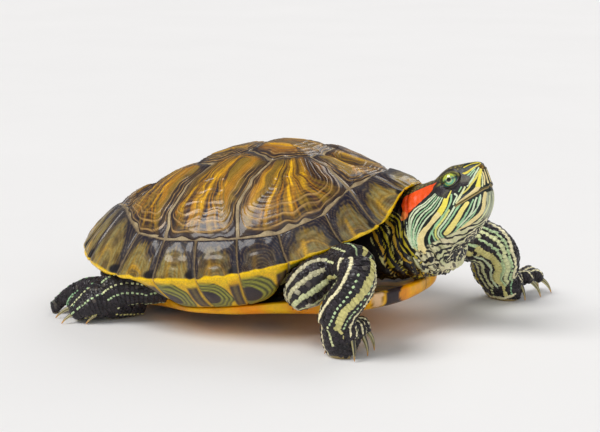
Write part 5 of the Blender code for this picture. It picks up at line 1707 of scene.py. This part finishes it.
def make_claws(claws, finish):
    """Curved claws: dark along the top, cream at the sides, amber at the tip."""
    for name, rows, side in claws:
        path = smooth_path(rows, 18)
        tangents = unit(np.gradient(path[:, :3], axis=0))
        angles = np.linspace(0, 2 * np.pi, 16, endpoint=False)
        rings, shades = [], []
        for number, (row, tangent) in enumerate(zip(path, tangents)):
            along = number / (len(path) - 1)
            across = unit(side - np.dot(side, tangent) * tangent)
            up = np.cross(tangent, across)
            up = up * (1 if up[2] > 0 else -1)
            size = row[3]
            low = np.where(np.sin(angles) < 0, 0.72, 1.0)
            rings.append(row[:3] + np.outer(np.cos(angles) * size * 0.78, across)
                         + np.outer(np.sin(angles) * size * low, up))
            dark = np.maximum(bump(np.sin(angles) - 1.0, 0.35), bump(np.sin(angles) - 0.05, 0.33))
            tip = mix(hue("#e2d79a"), hue("#d18a12"), step(0.55, 1.0, along))
            shades.append(mix(tip + 0 * angles[:, None], hue("#17110f"), dark * step(0.98, 0.6, along)))
        points, faces = closed_loft(np.array(rings))
        piece = build(name + "_horn", points, faces, finish, {"tint": np.vstack(shades)})
        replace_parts(outward(piece), name)


# ---------------------------------------------------------------- camera, floor and light

CAMERA_PLACE = (346.807, -663.801, 200.306)
CAMERA_TARGET = (15.822, 0.0, 45.568)
CAMERA_LENS = 98.88
FLOOR_RADIUS = 6000
LIGHTS_TARGET = (10, 0, 40)


def aim(item, place, target):
    """Put a camera or light in its place and turn it to the target."""
    start, end = Vector(to_metres(place)), Vector(to_metres(target))
    item.location = start
    item.rotation_euler = (end - start).to_track_quat("-Z", "Y").to_euler()


def make_camera():
    """Camera a little ahead of the right side and above the shell."""
    data = bpy.data.cameras.new("camera")
    data.lens = CAMERA_LENS
    data.sensor_width = 36.0
    data.clip_end = 20.0
    camera = add_item("camera", data)
    aim(camera, CAMERA_PLACE, CAMERA_TARGET)
    bpy.context.scene.camera = camera


def make_stage():
    """Pale floor, wide enough to fill the picture."""
    finish = Finish("paper", roughness=0.8, specular=0.1)
    shade = finish.ramp(finish.noise(180.0, 3.0), 0.3, 0.7, 0.0, 1.0)
    finish.set("Base Color", finish.blend(shade, hue("#efeeee"), hue("#f1f0f0")))
    finish.relief(finish.noise(0.8), 0.02)
    angles = np.linspace(0, 2 * np.pi, 72, endpoint=False)
    radius = np.linspace(20, FLOOR_RADIUS, 30)[:, None]
    rings = np.stack([radius * np.cos(angles), radius * np.sin(angles), 0 * radius * angles], -1)
    faces = quads(len(rings), len(angles), wrap=True)
    faces.append(list(range(len(angles)))[::-1])
    floor = add_mesh("floor", to_metres(rings.reshape(-1, 3) + CENTRE), faces)
    floor.data.materials.append(finish.made)
    floor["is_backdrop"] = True


def make_lights():
    """Wide soft suns from above, left and right, and an even sky."""
    for name, place, spread, power, colour in (
            ("key", (-400, -500, 900), 34, 2.08, (1.0, 0.985, 0.965)),
            ("fill", (700, -600, 500), 60, 0.75, (0.97, 0.98, 1.0)),
            ("rim", (200, 900, 700), 40, 0.9, (1.0, 0.99, 0.97))):
        data = bpy.data.lights.new(name, "SUN")
        data.angle = math.radians(spread)
        data.energy = power
        data.color = colour
        aim(add_item(name, data), place, LIGHTS_TARGET)
    world = bpy.data.worlds.new("studio")
    world.use_nodes = True
    sky = world.node_tree.nodes["Background"].inputs
    sky["Color"].default_value = (0.96, 0.98, 1.0, 1.0)
    sky["Strength"].default_value = 0.24
    bpy.context.scene.world = world
    bpy.context.scene.view_settings.view_transform = "Standard"


horn = tinted("scute horn", contrast=0.2, grain=0.8, depth=0.06, roughness=0.36, coat=0.4,
              coat_roughness=0.08, specular=0.25)
bone = tinted("seam bone", contrast=0.2, grain=1.0, depth=0.08, roughness=0.6)
belly = tinted("belly horn", contrast=0.08, grain=2.0, depth=0.04, roughness=0.35, coat=0.25,
               coat_roughness=0.15, specular=0.25)
belly_tint = belly.shader.inputs["Base Color"].links[0].from_socket
seam_share = belly.ramp(belly.field("seam", "Fac"), 0.12, 0.35)
belly.set("Base Color", belly.blend(seam_share, hue("#5a3410"), belly_tint))
belly.relief(belly.ramp(belly.field("seam", "Fac"), 0.0, 0.6), 0.3)
make_scutes(horn.made)
make_marginals(horn.made)
make_carapace_body(bone.made)
make_plastron(belly.made)
limbs, claws = make_limbs()
skin_tree = make_skin(
    limbs, skin_finish("skin", roughness=0.42, coat=0.12, coat_roughness=0.2, specular=0.35))
scale_finish = tinted("scales", contrast=0.2, grain=0.7, depth=0.03, roughness=0.36, coat=0.15,
                      coat_roughness=0.15, specular=0.35)
make_scales(limbs, skin_tree, scale_finish.made)
eye_finish = tinted("eye", contrast=0.06, grain=0.6, depth=0.0, roughness=0.12, coat=1.0, coat_roughness=0.02)
for name, hand in (("eye_right", -1), ("eye_left", 1)):
    make_eye(name, hand, eye_finish.made)
claw_finish = tinted("claw horn", contrast=0.15, grain=0.8, depth=0.03, roughness=0.3, coat=0.4,
                     coat_roughness=0.15)
make_claws(claws, claw_finish.made)

make_camera()
make_stage()
make_lights()

boxes = {"cad": cad_box, "visual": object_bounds()}
plain = {key: [[float(v) for v in corner] for corner in box] for key, box in boxes.items()}
